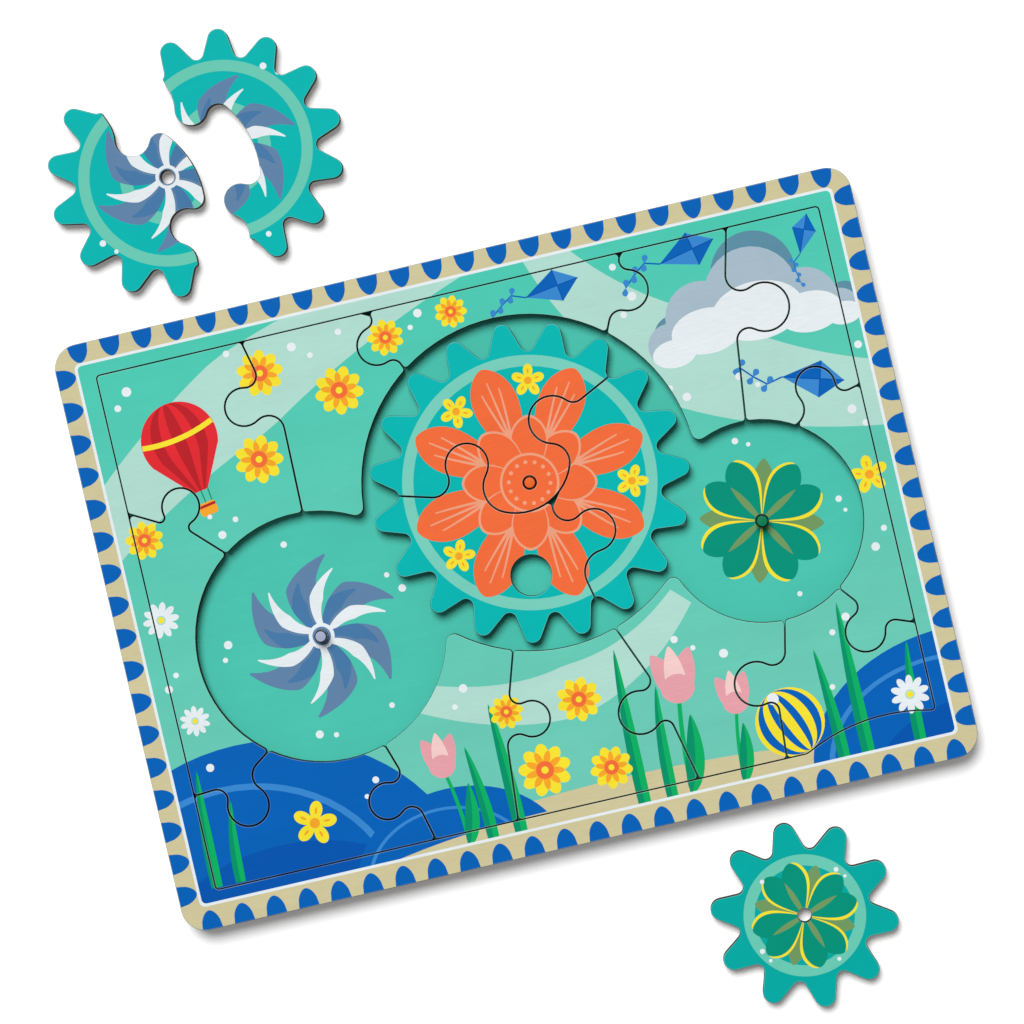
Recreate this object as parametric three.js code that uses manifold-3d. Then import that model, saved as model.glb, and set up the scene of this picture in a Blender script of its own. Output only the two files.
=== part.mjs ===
// A wooden gear jigsaw tray: a bottom board and a glued rim hold twelve interlocking pieces round three
// overlapping round wells. A peg stands in each well, and toothed gears turn on the pegs. The middle gear
// is on its peg, in three interlocking pieces. The left gear, in two pieces, and the one-piece right gear
// lie on the table beside the tray.
// Millimetres, +Z up, the origin at the middle of the tray's underside, +X along the tray's long side.
import * as THREE from "three";
import { mergeVertices } from "three/addons/utils/BufferGeometryUtils.js";
import Module from "manifold-3d";

const wasm = await Module();
wasm.setup();

// Boards
const baseThickness = 6.35;
const faceThickness = 6.35;
const rimWidthLeft = 19;
const rimWidthRight = 17.5;
const rimWidthTop = 17.3;
const rimWidthBottom = 18.3;
const trayCornerRadius = 12;
const openingCornerRadius = 2;

// Land between the wells and the edge of the opening
const landLeft = 17.1;
const landRight = 11.9;
const landTop = 17.1;
const landBottom = 48.2;

// Raised lip of the rim in the opening's bottom right corner
const lipArcRadius = 90;
const lipRise = 10;
const lipFromRight = 24.5;
const lipFillet = 6;

// Saw cuts
const kerfWidth = 0.6;
const openingClearance = 0.35;
const seamCornerRound = 1.8;
const gearSeamCornerRound = 1;
const branchCornerRound = 1.8;
const wellCuspRound = 4;

// Gears
const centreTeeth = 19;
const centreTipRadius = 78.6;
const centreToothDepth = 14;
const leftTeeth = 14;
const leftTipRadius = 59.4;
const leftToothDepth = 13.6;
const rightTeeth = 10;
const rightTipRadius = 46.2;
const rightToothDepth = 13.5;
const centreToothTipRound = 4.5;
const leftToothTipRound = 5.1;
const rightToothTipRound = 5.3;
const toothValleyRound = 3.5;
const fingerHoleRadius = 10.15;
const fingerHoleWall = 9.15;
const fingerHoleBearing = -113.8;

// Pegs and the gears' running room
const pegRadius = 3.15;
const pegRise = 7;
const pegSocketDepth = 4.5;
const pegGlueGap = 0.15;
const pegCrownRadius = 1;
const axleClearance = 0.35;
const centreWellClearance = 3.8;
const leftWellClearance = 2.2;
const rightWellClearance = 3.4;
const leftMeshClearance = 2.9;
const rightMeshClearance = 3.8;
const leftPegBearing = 203.2;
const rightPegBearing = -22.5;

// Where the loose gears lie on the table
const leftGearFromLeft = 75.1;
const leftGearGap = 10.7;
const leftGearTurn = 6.5;
const leftGearSideApart = 30.8;
const leftGearSideBearing = 12.7;
const leftGearSideTurn = -3.7;
const rightGearFromRight = 102.4;
const rightGearGap = 12.8;
const rightGearTurn = 19.1;
const centreGearTurn = 11.7;

// Fineness: the most that a facet may stray from its circle, and the sides of pegs and rounded corners
const arcError = 0.06;
const pegSides = 24;
const pegCrownSteps = 3;
const cornerSteps = 5;

// How far a cut runs past what it cuts, and a rounding circle past what it touches
const cutPast = 1;
const edgeLift = 0.15;
const roundingOverlap = 0.02;

// Search for a rounded corner's place: its widest reach, how often the interval is halved, and the least
// turn in degrees that is rounded
const cornerReachLimit = 12;
const cornerHalvings = 30;
const leastCornerTurn = 30;

const degrees = THREE.MathUtils.degToRad;
const fullTurn = 2 * Math.PI;

// Points from polar and plane coordinates
function polar(centre, reach, bearing) {
  return {
    x: centre.x + reach * Math.cos(degrees(bearing)),
    y: centre.y + reach * Math.sin(degrees(bearing)),
  };
}

// A pin that an outline is drawn round like a taut string: anticlockwise where turn is 1, clockwise where
// it is -1. A point on the outline is a pin of no radius.
function pin(x, y, radius = 0, turn = 1) {
  return { x, y, radius, turn };
}

const pinAt = (place) => pin(place.x, place.y);

// A pin that touches another one from outside, seen from it at a bearing, and turns the other way
function pinBeside(other, bearing, radius) {
  const place = polar(other, other.radius + radius, bearing);
  return pin(place.x, place.y, radius, -other.turn);
}

// A pin that carries an arc on with another radius from its point at a bearing, and turns the same way
function pinOnward(other, bearing, radius) {
  const place = polar(other, other.radius - radius, bearing);
  return pin(place.x, place.y, radius, other.turn);
}

// Pins drawn on a unit long line from the origin along +X, laid on the line from one place to another.
function laidBetween(pins, from, to) {
  const length = Math.hypot(to.x - from.x, to.y - from.y);
  const along = { x: (to.x - from.x) / length, y: (to.y - from.y) / length };
  return pins.map((p) =>
    pin(
      from.x + length * (p.x * along.x - p.y * along.y),
      from.y + length * (p.x * along.y + p.y * along.x),
      length * p.radius,
      p.turn,
    ),
  );
}

// Heading of the straight line that leaves one pin and meets the next one, each on its own side.
function headingBetween(a, b) {
  const gap = Math.hypot(b.x - a.x, b.y - a.y);
  const lean = (b.turn * b.radius - a.turn * a.radius) / gap;
  return Math.atan2(b.y - a.y, b.x - a.x) - Math.asin(THREE.MathUtils.clamp(lean, -1, 1));
}

// The place on a pin's edge where the string has a heading.
function onPin(p, heading) {
  return {
    x: p.x + p.turn * p.radius * Math.sin(heading),
    y: p.y - p.turn * p.radius * Math.cos(heading),
    heading,
  };
}

// Steps of an arc; the smallest pins still get one every 120 degrees.
function arcSteps(radius, sweep) {
  const sagitta = Math.min(0.5, arcError / radius);
  const step = 2 * Math.acos(1 - sagitta);
  return Math.max(1, Math.ceil(sweep / step));
}

// The string round a row of pins, as places with their headings. A closed string returns to its start. A
// turn round a pin that comes out as nearly a whole one is a rounding error for none.
function stringRound(pins, closed) {
  const legs = closed ? pins.length : pins.length - 1;
  const headings = [];
  for (let i = 0; i < legs; i++) {
    headings.push(headingBetween(pins[i], pins[(i + 1) % pins.length]));
  }
  const nearlyWhole = degrees(350);
  return pins.flatMap((p, i) => {
    const first = headings[closed ? (i + legs - 1) % legs : Math.max(i - 1, 0)];
    const last = headings[Math.min(i, legs - 1)];
    if (p.radius === 0) return [onPin(p, i === 0 ? last : first)];
    const turned = THREE.MathUtils.euclideanModulo(p.turn * (last - first), fullTurn);
    const sweep = turned > nearlyWhole ? 0 : turned;
    const steps = arcSteps(p.radius, sweep);
    const places = [];
    for (let k = 0; k <= steps; k++) {
      places.push(onPin(p, first + (p.turn * sweep * k) / steps));
    }
    return places;
  });
}

function circleRound(centre, radius) {
  const steps = arcSteps(radius, fullTurn);
  const places = [];
  for (let k = 0; k < steps; k++) {
    places.push(onPin({ ...centre, radius, turn: 1 }, (fullTurn * k) / steps));
  }
  return places;
}

// A closed string drawn that much further in, on the same pins.
function drawnIn(pins, inset) {
  return pins.map((p) => pin(p.x, p.y, p.radius - p.turn * inset, p.turn));
}

// Upright solids on an outline
function prism(outline, bottom, height, holes = []) {
  const shape = new THREE.Shape(outline.map((p) => new THREE.Vector2(p.x, p.y)));
  for (const hole of holes) {
    shape.holes.push(new THREE.Path(hole.map((p) => new THREE.Vector2(p.x, p.y))));
  }
  const made = new THREE.ExtrudeGeometry(shape, { depth: height, bevelEnabled: false });
  return made.translate(0, 0, bottom);
}

// Joining and cutting
const mergeDistance = 1e-5;

function solidOf(geometry) {
  geometry.deleteAttribute("normal");
  geometry.deleteAttribute("uv");
  const merged = mergeVertices(geometry, mergeDistance);
  return new wasm.Manifold(
    new wasm.Mesh({
      numProp: 3,
      vertProperties: merged.attributes.position.array,
      triVerts: new Uint32Array(merged.index.array),
    }),
  );
}

function geometryOf(solid) {
  const mesh = solid.getMesh();
  const made = new THREE.BufferGeometry();
  made.setAttribute("position", new THREE.BufferAttribute(mesh.vertProperties, mesh.numProp));
  made.setIndex(new THREE.BufferAttribute(mesh.triVerts, 1));
  return made;
}

// An edge that a seam ends on, as a function that gives the place at a reach along it, to the right of
// someone who steps into the wood there, and a depth in the wood.
function straightEdge(place, inward) {
  return (reach, depth) => polar(polar(place, depth, inward), reach, inward - 90);
}

function roundEdge(centre, radius, bearing) {
  return (reach, depth) => {
    const turned = THREE.MathUtils.radToDeg(reach / radius);
    return polar(centre, radius + depth, bearing - turned);
  };
}

// The place on an open line that is nearest to a place, and how far it is
function nearestOn(line, place) {
  let best = { distance: Infinity };
  for (let i = 1; i < line.length; i++) {
    const a = line[i - 1];
    const along = { x: line[i].x - a.x, y: line[i].y - a.y };
    const length2 = along.x ** 2 + along.y ** 2;
    const share = ((place.x - a.x) * along.x + (place.y - a.y) * along.y) / length2;
    const t = THREE.MathUtils.clamp(share, 0, 1) || 0;
    const x = a.x + t * along.x;
    const y = a.y + t * along.y;
    const distance = Math.hypot(place.x - x, place.y - y);
    if (distance < best.distance) best = { x, y, distance };
  }
  return best;
}

// Outlines of the wood that goes where a corner between an edge and a cut is rounded: one, or none where
// the corner is almost straight. The rounding circle touches both, and halving the interval finds its reach
// along the edge.
function roundedCorner({ edge, side, round }, line) {
  const depth = round - roundingOverlap;
  const clearance = depth + kerfWidth / 2;
  let near = 0;
  let far = cornerReachLimit;
  for (let k = 0; k < cornerHalvings; k++) {
    const reach = (near + far) / 2;
    if (nearestOn(line, edge(side * reach, depth)).distance < clearance) near = reach;
    else far = reach;
  }
  const middle = edge(side * far, depth);
  const onEdge = edge(side * far, 0);
  const onCut = nearestOn(line, middle);
  const first = Math.atan2(onEdge.y - middle.y, onEdge.x - middle.x);
  const last = Math.atan2(onCut.y - middle.y, onCut.x - middle.x);
  const turned = THREE.MathUtils.euclideanModulo(last - first + Math.PI, fullTurn) - Math.PI;
  if (Math.abs(turned) < degrees(leastCornerTurn)) return [];
  const arc = [];
  for (let k = 0; k <= cornerSteps; k++) {
    const angle = first + (turned * k) / cornerSteps;
    arc.push({
      x: middle.x + round * Math.cos(angle),
      y: middle.y + round * Math.sin(angle),
    });
  }
  return [[edge(side * far, -edgeLift), ...arc, onCut, edge(0, -edgeLift)]];
}

const bothCorners = (edge, round) => [-1, 1].map((side) => ({ edge, side, round }));

// Outlines of the wood that goes where a saw cuts along an open string of pins: the strip along it, which
// runs past both ends, and the corners that are rounded there, each given by its edge, side and radius.
function sawCut(pins, corners) {
  const route = stringRound(pins, false);
  const beyond = (place, reach) => ({
    x: place.x + reach * Math.cos(place.heading),
    y: place.y + reach * Math.sin(place.heading),
    heading: place.heading,
  });
  const line = [beyond(route[0], -kerfWidth / 2), ...route, beyond(route[route.length - 1], cutPast)];
  const sideAt = (side) =>
    line.map((place) => {
      const aside = (side * kerfWidth) / 2;
      return {
        x: place.x - aside * Math.sin(place.heading),
        y: place.y + aside * Math.cos(place.heading),
      };
    });
  const rounded = corners.flatMap((corner) => roundedCorner(corner, line));
  return [[...sideAt(-1), ...sideAt(1).reverse()], ...rounded];
}

// The bodies that a solid falls into when it is cut, in order of their rank
function cutApart(solid, cuts, rank) {
  const whole = solid.boundingBox();
  const bottom = whole.min[2] - cutPast;
  const height = whole.max[2] - whole.min[2] + 2 * cutPast;
  const rest = cuts.reduce((left, cut) => left.subtract(solidOf(prism(cut, bottom, height))), solid);
  const ranked = rest.decompose().map((body) => {
    const box = body.boundingBox();
    return { body, rank: rank((box.min[0] + box.max[0]) / 2, (box.min[1] + box.max[1]) / 2) };
  });
  return ranked.sort((a, b) => a.rank - b.rank).map((entry) => entry.body);
}

// Layout of the tray, worked out from the gears about the middle peg
const centreRootRadius = centreTipRadius - centreToothDepth;
const leftRootRadius = leftTipRadius - leftToothDepth;
const rightRootRadius = rightTipRadius - rightToothDepth;
const centreWellRadius = centreTipRadius + centreWellClearance;
const leftWellRadius = leftTipRadius + leftWellClearance;
const rightWellRadius = rightTipRadius + rightWellClearance;
const leftPegFromMiddle = polar(
  { x: 0, y: 0 },
  centreTipRadius + leftRootRadius + leftMeshClearance,
  leftPegBearing,
);
const rightPegFromMiddle = polar(
  { x: 0, y: 0 },
  centreTipRadius + rightRootRadius + rightMeshClearance,
  rightPegBearing,
);
const openingFromMiddle = {
  left: leftPegFromMiddle.x - leftWellRadius - landLeft,
  right: rightPegFromMiddle.x + rightWellRadius + landRight,
  top: centreWellRadius + landTop,
  bottom: leftPegFromMiddle.y - leftWellRadius - landBottom,
};
const trayFromMiddle = {
  left: openingFromMiddle.left - rimWidthLeft,
  right: openingFromMiddle.right + rimWidthRight,
  top: openingFromMiddle.top + rimWidthTop,
  bottom: openingFromMiddle.bottom - rimWidthBottom,
};
const trayHalfLength = (trayFromMiddle.right - trayFromMiddle.left) / 2;
const trayHalfWidth = (trayFromMiddle.top - trayFromMiddle.bottom) / 2;
const centrePeg = {
  x: -(trayFromMiddle.left + trayFromMiddle.right) / 2,
  y: -(trayFromMiddle.bottom + trayFromMiddle.top) / 2,
};
const leftPeg = { x: centrePeg.x + leftPegFromMiddle.x, y: centrePeg.y + leftPegFromMiddle.y };
const rightPeg = { x: centrePeg.x + rightPegFromMiddle.x, y: centrePeg.y + rightPegFromMiddle.y };
const opening = {
  left: centrePeg.x + openingFromMiddle.left,
  right: centrePeg.x + openingFromMiddle.right,
  top: centrePeg.y + openingFromMiddle.top,
  bottom: centrePeg.y + openingFromMiddle.bottom,
};

// Outline of the tray
function trayOutline() {
  const x = trayHalfLength - trayCornerRadius;
  const y = trayHalfWidth - trayCornerRadius;
  const corners = [
    [-x, -y],
    [x, -y],
    [x, y],
    [-x, y],
  ];
  return stringRound(
    corners.map(([cornerX, cornerY]) => pin(cornerX, cornerY, trayCornerRadius)),
    true,
  );
}

// Pins of the opening: its four corners and the lip's fillet and arc
function openingPins() {
  const r = openingCornerRadius;
  const lip = pin(
    opening.right - lipFromRight,
    opening.bottom + lipRise - lipArcRadius,
    lipArcRadius,
    -1,
  );
  const filletY = opening.bottom + lipFillet;
  const filletX = lip.x - Math.sqrt((lipArcRadius + lipFillet) ** 2 - (filletY - lip.y) ** 2);
  const cornerX = opening.right - r;
  const cornerY = lip.y + Math.sqrt((lipArcRadius + r) ** 2 - (cornerX - lip.x) ** 2);
  return [
    pin(opening.left + r, opening.bottom + r, r),
    pin(filletX, filletY, lipFillet),
    lip,
    pin(cornerX, cornerY, r),
    pin(cornerX, opening.top - r, r),
    pin(opening.left + r, opening.top - r, r),
  ];
}

// The rounded point of wood between two overlapping wells, on the left of the line from one to the other
function cuspPin(a, radiusA, b, radiusB) {
  const reachA = radiusA + wellCuspRound;
  const reachB = radiusB + wellCuspRound;
  const apart = Math.hypot(b.x - a.x, b.y - a.y);
  const along = (reachA ** 2 - reachB ** 2 + apart ** 2) / (2 * apart);
  const aside = Math.sqrt(reachA ** 2 - along ** 2);
  const unit = { x: (b.x - a.x) / apart, y: (b.y - a.y) / apart };
  return pin(
    a.x + along * unit.x - aside * unit.y,
    a.y + along * unit.y + aside * unit.x,
    wellCuspRound,
    -1,
  );
}

// The three wells as one outline, anticlockwise
function wellsOutline() {
  return stringRound(
    [
      pin(leftPeg.x, leftPeg.y, leftWellRadius),
      cuspPin(centrePeg, centreWellRadius, leftPeg, leftWellRadius),
      pin(centrePeg.x, centrePeg.y, centreWellRadius),
      cuspPin(rightPeg, rightWellRadius, centrePeg, centreWellRadius),
      pin(rightPeg.x, rightPeg.y, rightWellRadius),
      cuspPin(centrePeg, centreWellRadius, rightPeg, rightWellRadius),
      pin(centrePeg.x, centrePeg.y, centreWellRadius),
      cuspPin(leftPeg, leftWellRadius, centrePeg, centreWellRadius),
    ],
    true,
  );
}

// A seam between two tray pieces runs from a share of an edge of the opening, counted from its left or
// bottom end, to a bearing on a well, round one knob with a neck on each side. Its shape is drawn on a unit
// line between those two places: the knob as a pin, and each neck by its bearing from it and its radius.
const acrossOpening = (share) => THREE.MathUtils.lerp(opening.left, opening.right, share);
const upOpening = (share) => THREE.MathUtils.lerp(opening.bottom, opening.top, share);
const edgeOf = {
  left: (share) => straightEdge({ x: opening.left, y: upOpening(share) }, 0),
  right: (share) => straightEdge({ x: opening.right, y: upOpening(share) }, 180),
  top: (share) => straightEdge({ x: acrossOpening(share), y: opening.top }, 270),
  bottom: (share) => straightEdge({ x: acrossOpening(share), y: opening.bottom }, 90),
};

function seam(edge, share, well, bearing, knob, firstNeck, lastNeck) {
  const startEdge = edgeOf[edge](share);
  const endEdge = roundEdge(well, well.radius, bearing);
  const start = pinAt(startEdge(0, 0));
  const end = pinAt(endEdge(0, 0));
  const knobPin = pin(...knob);
  const shape = [pinBeside(knobPin, ...firstNeck), knobPin, pinBeside(knobPin, ...lastNeck)];
  const pins = [start, ...laidBetween(shape, start, end), end];
  const faceEdge = (reach, depth) => startEdge(reach, depth + openingClearance);
  const corners = [faceEdge, endEdge].flatMap((end) => bothCorners(end, seamCornerRound));
  return sawCut(pins, corners);
}

// Outlines of all the seams between the tray pieces
function traySeams() {
  const left = { ...leftPeg, radius: leftWellRadius };
  const middle = { ...centrePeg, radius: centreWellRadius };
  const right = { ...rightPeg, radius: rightWellRadius };
  const seams = [
    seam("top", 0.202, left, 85.1, [0.345, -0.107, 0.106, 1], [159, 0.065], [26, 0.087]),
    seam("top", 0.368, middle, 124.7, [0.493, -0.101, 0.274, 1], [170, 0.119], [-3, 0.127]),
    seam("top", 0.73, middle, 49.6, [0.446, 0.152, 0.249, -1], [189, 0.119], [0, 0.151]),
    seam("top", 0.873, right, 86.2, [0.427, 0.157, 0.126, -1], [-148, 0.078], [-31, 0.062]),
    seam("right", 0.656, right, 57.5, [0.508, -0.293, 0.26, 1], [158, 0.13], [7, 0.23]),
    seam("right", 0.196, right, -54.3, [0.495, 0.348, 0.239, -1], [-151, 0.117], [-30, 0.118]),
    seam("bottom", 0.791, right, -90.3, [0.543, 0.209, 0.16, -1], [-153, 0.06], [-27, 0.093]),
    seam("bottom", 0.67, middle, -72.6, [0.501, 0.112, 0.126, -1], [-152, 0.05], [-30, 0.056]),
    seam("bottom", 0.42, middle, -108.8, [0.595, -0.099, 0.106, 1], [154, 0.07], [26, 0.057]),
    seam("bottom", 0.306, left, -72.5, [0.527, 0.227, 0.171, -1], [-153, 0.108], [-34, 0.091]),
    seam("left", 0.183, left, -127.6, [0.476, -0.411, 0.236, 1], [140, 0.124], [26, 0.177]),
    seam("left", 0.732, left, 125.7, [0.438, 0.247, 0.177, -1], [-130, 0.045], [-34, 0.053]),
  ];
  return seams.flat();
}

// Names of the tray pieces, clockwise from the top left corner
const trayPieceNames = [
  "top_left_corner_piece",
  "top_left_piece",
  "top_middle_piece",
  "top_right_piece",
  "top_right_corner_piece",
  "right_piece",
  "bottom_right_corner_piece",
  "bottom_right_piece",
  "bottom_middle_piece",
  "bottom_left_piece",
  "bottom_left_corner_piece",
  "left_piece",
];

function trayPieces() {
  const sheetOutline = stringRound(drawnIn(openingPins(), openingClearance), true);
  const sheet = solidOf(prism(sheetOutline, baseThickness, faceThickness, [wellsOutline()]));
  const firstBearing = degrees(165);
  return cutApart(sheet, traySeams(), (x, y) =>
    THREE.MathUtils.euclideanModulo(firstBearing - Math.atan2(y, x), fullTurn),
  );
}

// A gear lies flat with its axle at the origin and its first tooth along +X. Its rim is a string round the
// tips of the teeth and the valleys between them.
function gearOutline(teeth, tipRadius, rootRadius, tipRound) {
  const pins = [];
  for (let k = 0; k < teeth; k++) {
    const tip = polar({ x: 0, y: 0 }, tipRadius - tipRound, (360 * k) / teeth);
    const valley = polar({ x: 0, y: 0 }, rootRadius + toothValleyRound, (360 * (k + 0.5)) / teeth);
    pins.push(pin(tip.x, tip.y, tipRound, 1));
    pins.push(pin(valley.x, valley.y, toothValleyRound, -1));
  }
  return stringRound(pins, true);
}

function gearSolid(outline, holes = []) {
  const axleHole = circleRound({ x: 0, y: 0 }, pegRadius + axleClearance);
  return solidOf(prism(outline, 0, faceThickness, [axleHole, ...holes]));
}

// The edge round the bottom of the valley after a tooth, where a seam ends
function valleyEdge(teeth, rootRadius, tooth) {
  const bearing = (360 * (tooth + 0.5)) / teeth;
  const centre = polar({ x: 0, y: 0 }, rootRadius + toothValleyRound, bearing);
  return roundEdge(centre, toothValleyRound, bearing + 180);
}

// Pins drawn on a gear whose root circle has a radius of one, at the real gear's size
function scaledPins(pins, rootRadius) {
  return laidBetween(pins, { x: 0, y: 0 }, { x: rootRadius, y: 0 });
}

// A cut through a gear from edge to edge, on a shape drawn for a root circle of radius one
function gearCut(shape, rootRadius, startEdge, endEdge, startCorners) {
  const pins = [pinAt(startEdge(0, 0)), ...scaledPins(shape, rootRadius), pinAt(endEdge(0, 0))];
  return sawCut(pins, [...startCorners, ...bothCorners(endEdge, gearSeamCornerRound)]);
}

// A cut between two valleys of a gear
function gearCutAcross(shape, rootRadius, firstValley, lastValley) {
  const startCorners = bothCorners(firstValley, gearSeamCornerRound);
  return gearCut(shape, rootRadius, firstValley, lastValley, startCorners);
}

// The middle gear: a long cut leaves the round hub and its upper half, and a second one parts the rest.
function centreGearPieces() {
  const hubRight = pin(0.208, 0.07, 0.145, -1);
  const upperKnob = pinBeside(hubRight, 62.8, 0.181);
  const hubBelow = pinOnward(hubRight, -31.8, 0.415);
  const hubLeft = pinOnward(hubBelow, -126.9, 0.198);
  const leftKnob = pinBeside(hubLeft, 128.4, 0.163);
  const longShape = [
    pinBeside(upperKnob, 30.1, 0.089),
    upperKnob,
    hubRight,
    hubBelow,
    hubLeft,
    leftKnob,
    pinBeside(leftKnob, 181, 0.123),
  ];
  const lowerKnob = pin(0.294, -0.531, 0.161, -1);
  const shortShape = [
    pinBeside(lowerKnob, 112.8, 0.114),
    lowerKnob,
    pinBeside(lowerKnob, -97.4, 0.17),
  ];
  const branchBearing = -60.4;
  const [hubCut] = scaledPins([hubBelow], centreRootRadius);
  const branch = roundEdge(hubCut, hubCut.radius, branchBearing);
  const branchEdge = (reach, depth) => branch(reach, depth + kerfWidth / 2);
  const crankCorner = { edge: branchEdge, side: 1, round: branchCornerRound };
  const valley = (tooth) => valleyEdge(centreTeeth, centreRootRadius, tooth);
  const longCut = gearCutAcross(longShape, centreRootRadius, valley(1), valley(8));
  const shortCut = gearCut(shortShape, centreRootRadius, branch, valley(14), [crankCorner]);
  const fingerHoleReach = centreRootRadius - fingerHoleWall - fingerHoleRadius;
  const fingerHole = circleRound(
    polar({ x: 0, y: 0 }, fingerHoleReach, fingerHoleBearing),
    fingerHoleRadius,
  );
  const outline = gearOutline(centreTeeth, centreTipRadius, centreRootRadius, centreToothTipRound);
  const gear = gearSolid(outline, [fingerHole]);
  const [lower, hubPiece] = cutApart(gear, longCut, (x, y) => y);
  const [crankPiece, sidePiece] = cutApart(lower, shortCut, (x) => x);
  return { hubPiece, crankPiece, sidePiece };
}

// The left gear: one cut swings round its hub.
function leftGearPieces() {
  const hubTop = pin(0.045, 0.36, 0.126, -1);
  const hubHollow = pinBeside(hubTop, 150.2, 0.182);
  const hubSide = pinOnward(hubTop, 33.6, 1.043);
  const hubBottom = pinOnward(hubSide, -9.9, 0.125);
  const lowerHollow = pinBeside(hubBottom, -121.2, 0.184);
  const shape = [
    pinBeside(hubHollow, 165.2, 0.397),
    hubHollow,
    hubTop,
    hubSide,
    hubBottom,
    lowerHollow,
    pinBeside(lowerHollow, -124.5, 0.217),
  ];
  const valley = (tooth) => valleyEdge(leftTeeth, leftRootRadius, tooth);
  const cut = gearCutAcross(shape, leftRootRadius, valley(4), valley(10));
  const outline = gearOutline(leftTeeth, leftTipRadius, leftRootRadius, leftToothTipRound);
  const gear = gearSolid(outline);
  const [hubPiece, sidePiece] = cutApart(gear, cut, (x) => x);
  return { hubPiece, sidePiece };
}

// Peg: a dowel with a crowned top that stands in a blind hole of the bottom board
function pegGeometry() {
  const length = pegSocketDepth + pegRise;
  const profile = [new THREE.Vector2(0, 0), new THREE.Vector2(pegRadius, 0)];
  for (let k = 0; k <= pegCrownSteps; k++) {
    const turn = (Math.PI / 2) * (k / pegCrownSteps);
    profile.push(
      new THREE.Vector2(
        pegRadius - pegCrownRadius * (1 - Math.cos(turn)),
        length - pegCrownRadius * (1 - Math.sin(turn)),
      ),
    );
  }
  profile.push(new THREE.Vector2(0, length));
  return new THREE.LatheGeometry(profile, pegSides).rotateX(Math.PI / 2);
}

function baseGeometry() {
  const sockets = [leftPeg, centrePeg, rightPeg].map((peg) =>
    solidOf(
      prism(
        circleRound(peg, pegRadius + pegGlueGap),
        baseThickness - pegSocketDepth,
        pegSocketDepth + cutPast,
      ),
    ),
  );
  const board = solidOf(prism(trayOutline(), 0, baseThickness));
  return geometryOf(sockets.reduce((rest, socket) => rest.subtract(socket), board));
}

// Paint
const satin = { roughness: 0.45, metalness: 0 };
const tealPaint = new THREE.MeshStandardMaterial({ ...satin, color: 0x5fc8b4 });
const gearPaint = new THREE.MeshStandardMaterial({ ...satin, color: 0x00b2b0 });
const rimPaint = new THREE.MeshStandardMaterial({ ...satin, color: 0x0060b8 });
const floorPaint = new THREE.MeshStandardMaterial({ ...satin, color: 0x45beaa });
const orangePaint = new THREE.MeshStandardMaterial({ ...satin, color: 0xf07040 });
const greyPaint = new THREE.MeshStandardMaterial({ ...satin, color: 0x8898b0 });
const greenPaint = new THREE.MeshStandardMaterial({ ...satin, color: 0x008c78 });

// Assembly
const toy = new THREE.Group();

function addPiece(parent, name, geometry, material) {
  const mesh = new THREE.Mesh(geometry, material);
  mesh.name = name;
  parent.add(mesh);
  return mesh;
}

// A group that stands at a place with its turn about +Z, in degrees
function standAt(place, height, turn) {
  const group = new THREE.Group();
  group.position.set(place.x, place.y, height);
  group.rotation.z = degrees(turn);
  toy.add(group);
  return group;
}

addPiece(toy, "base_board", baseGeometry(), floorPaint);
const rimGeometry = prism(trayOutline(), baseThickness, faceThickness, [
  stringRound(openingPins(), true),
]);
addPiece(toy, "frame_rim", rimGeometry, rimPaint);
trayPieces().forEach((body, i) => addPiece(toy, trayPieceNames[i], geometryOf(body), tealPaint));

const pegs = [
  ["left_peg", leftPeg, greyPaint],
  ["centre_peg", centrePeg, orangePaint],
  ["right_peg", rightPeg, greenPaint],
];
for (const [name, place, paint] of pegs) {
  addPiece(standAt(place, baseThickness - pegSocketDepth, 0), name, pegGeometry(), paint);
}

const centreGear = standAt(centrePeg, baseThickness, centreGearTurn);
const centrePieces = centreGearPieces();
addPiece(centreGear, "centre_gear_hub", geometryOf(centrePieces.hubPiece), gearPaint);
addPiece(centreGear, "centre_gear_side", geometryOf(centrePieces.sidePiece), gearPaint);
addPiece(centreGear, "centre_gear_crank", geometryOf(centrePieces.crankPiece), gearPaint);

const leftGearPlace = {
  x: -trayHalfLength + leftGearFromLeft,
  y: trayHalfWidth + leftGearGap + leftTipRadius,
};
const leftGearSidePlace = polar(leftGearPlace, leftGearSideApart, leftGearSideBearing);
const leftPieces = leftGearPieces();
const leftGear = standAt(leftGearPlace, 0, leftGearTurn);
addPiece(leftGear, "left_gear_hub", geometryOf(leftPieces.hubPiece), gearPaint);
const leftGearSide = standAt(leftGearSidePlace, 0, leftGearTurn + leftGearSideTurn);
addPiece(leftGearSide, "left_gear_side", geometryOf(leftPieces.sidePiece), gearPaint);

const rightGearPlace = {
  x: trayHalfLength - rightGearFromRight,
  y: -trayHalfWidth - rightGearGap - rightTipRadius,
};
const rightOutline = gearOutline(rightTeeth, rightTipRadius, rightRootRadius, rightToothTipRound);
addPiece(
  standAt(rightGearPlace, 0, rightGearTurn),
  "right_gear",
  geometryOf(gearSolid(rightOutline)),
  gearPaint,
);

export default toy;
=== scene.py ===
"""A wooden gear jigsaw tray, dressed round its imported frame.

Each board of the toy takes its outline from the frame. Its flat top is cut into the inks of a printed
picture, its edge is a rounded profile carried along that outline, and its sides show the plies.
The pictures are drawn in millimetres in the tray's own plane, as lists of (ink, outline), back to front.
"""
import math

import bpy
import numpy as np
from bpy.props import FloatProperty, FloatVectorProperty, PointerProperty
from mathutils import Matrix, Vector
from mathutils.geometry import delaunay_2d_cdt


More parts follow.
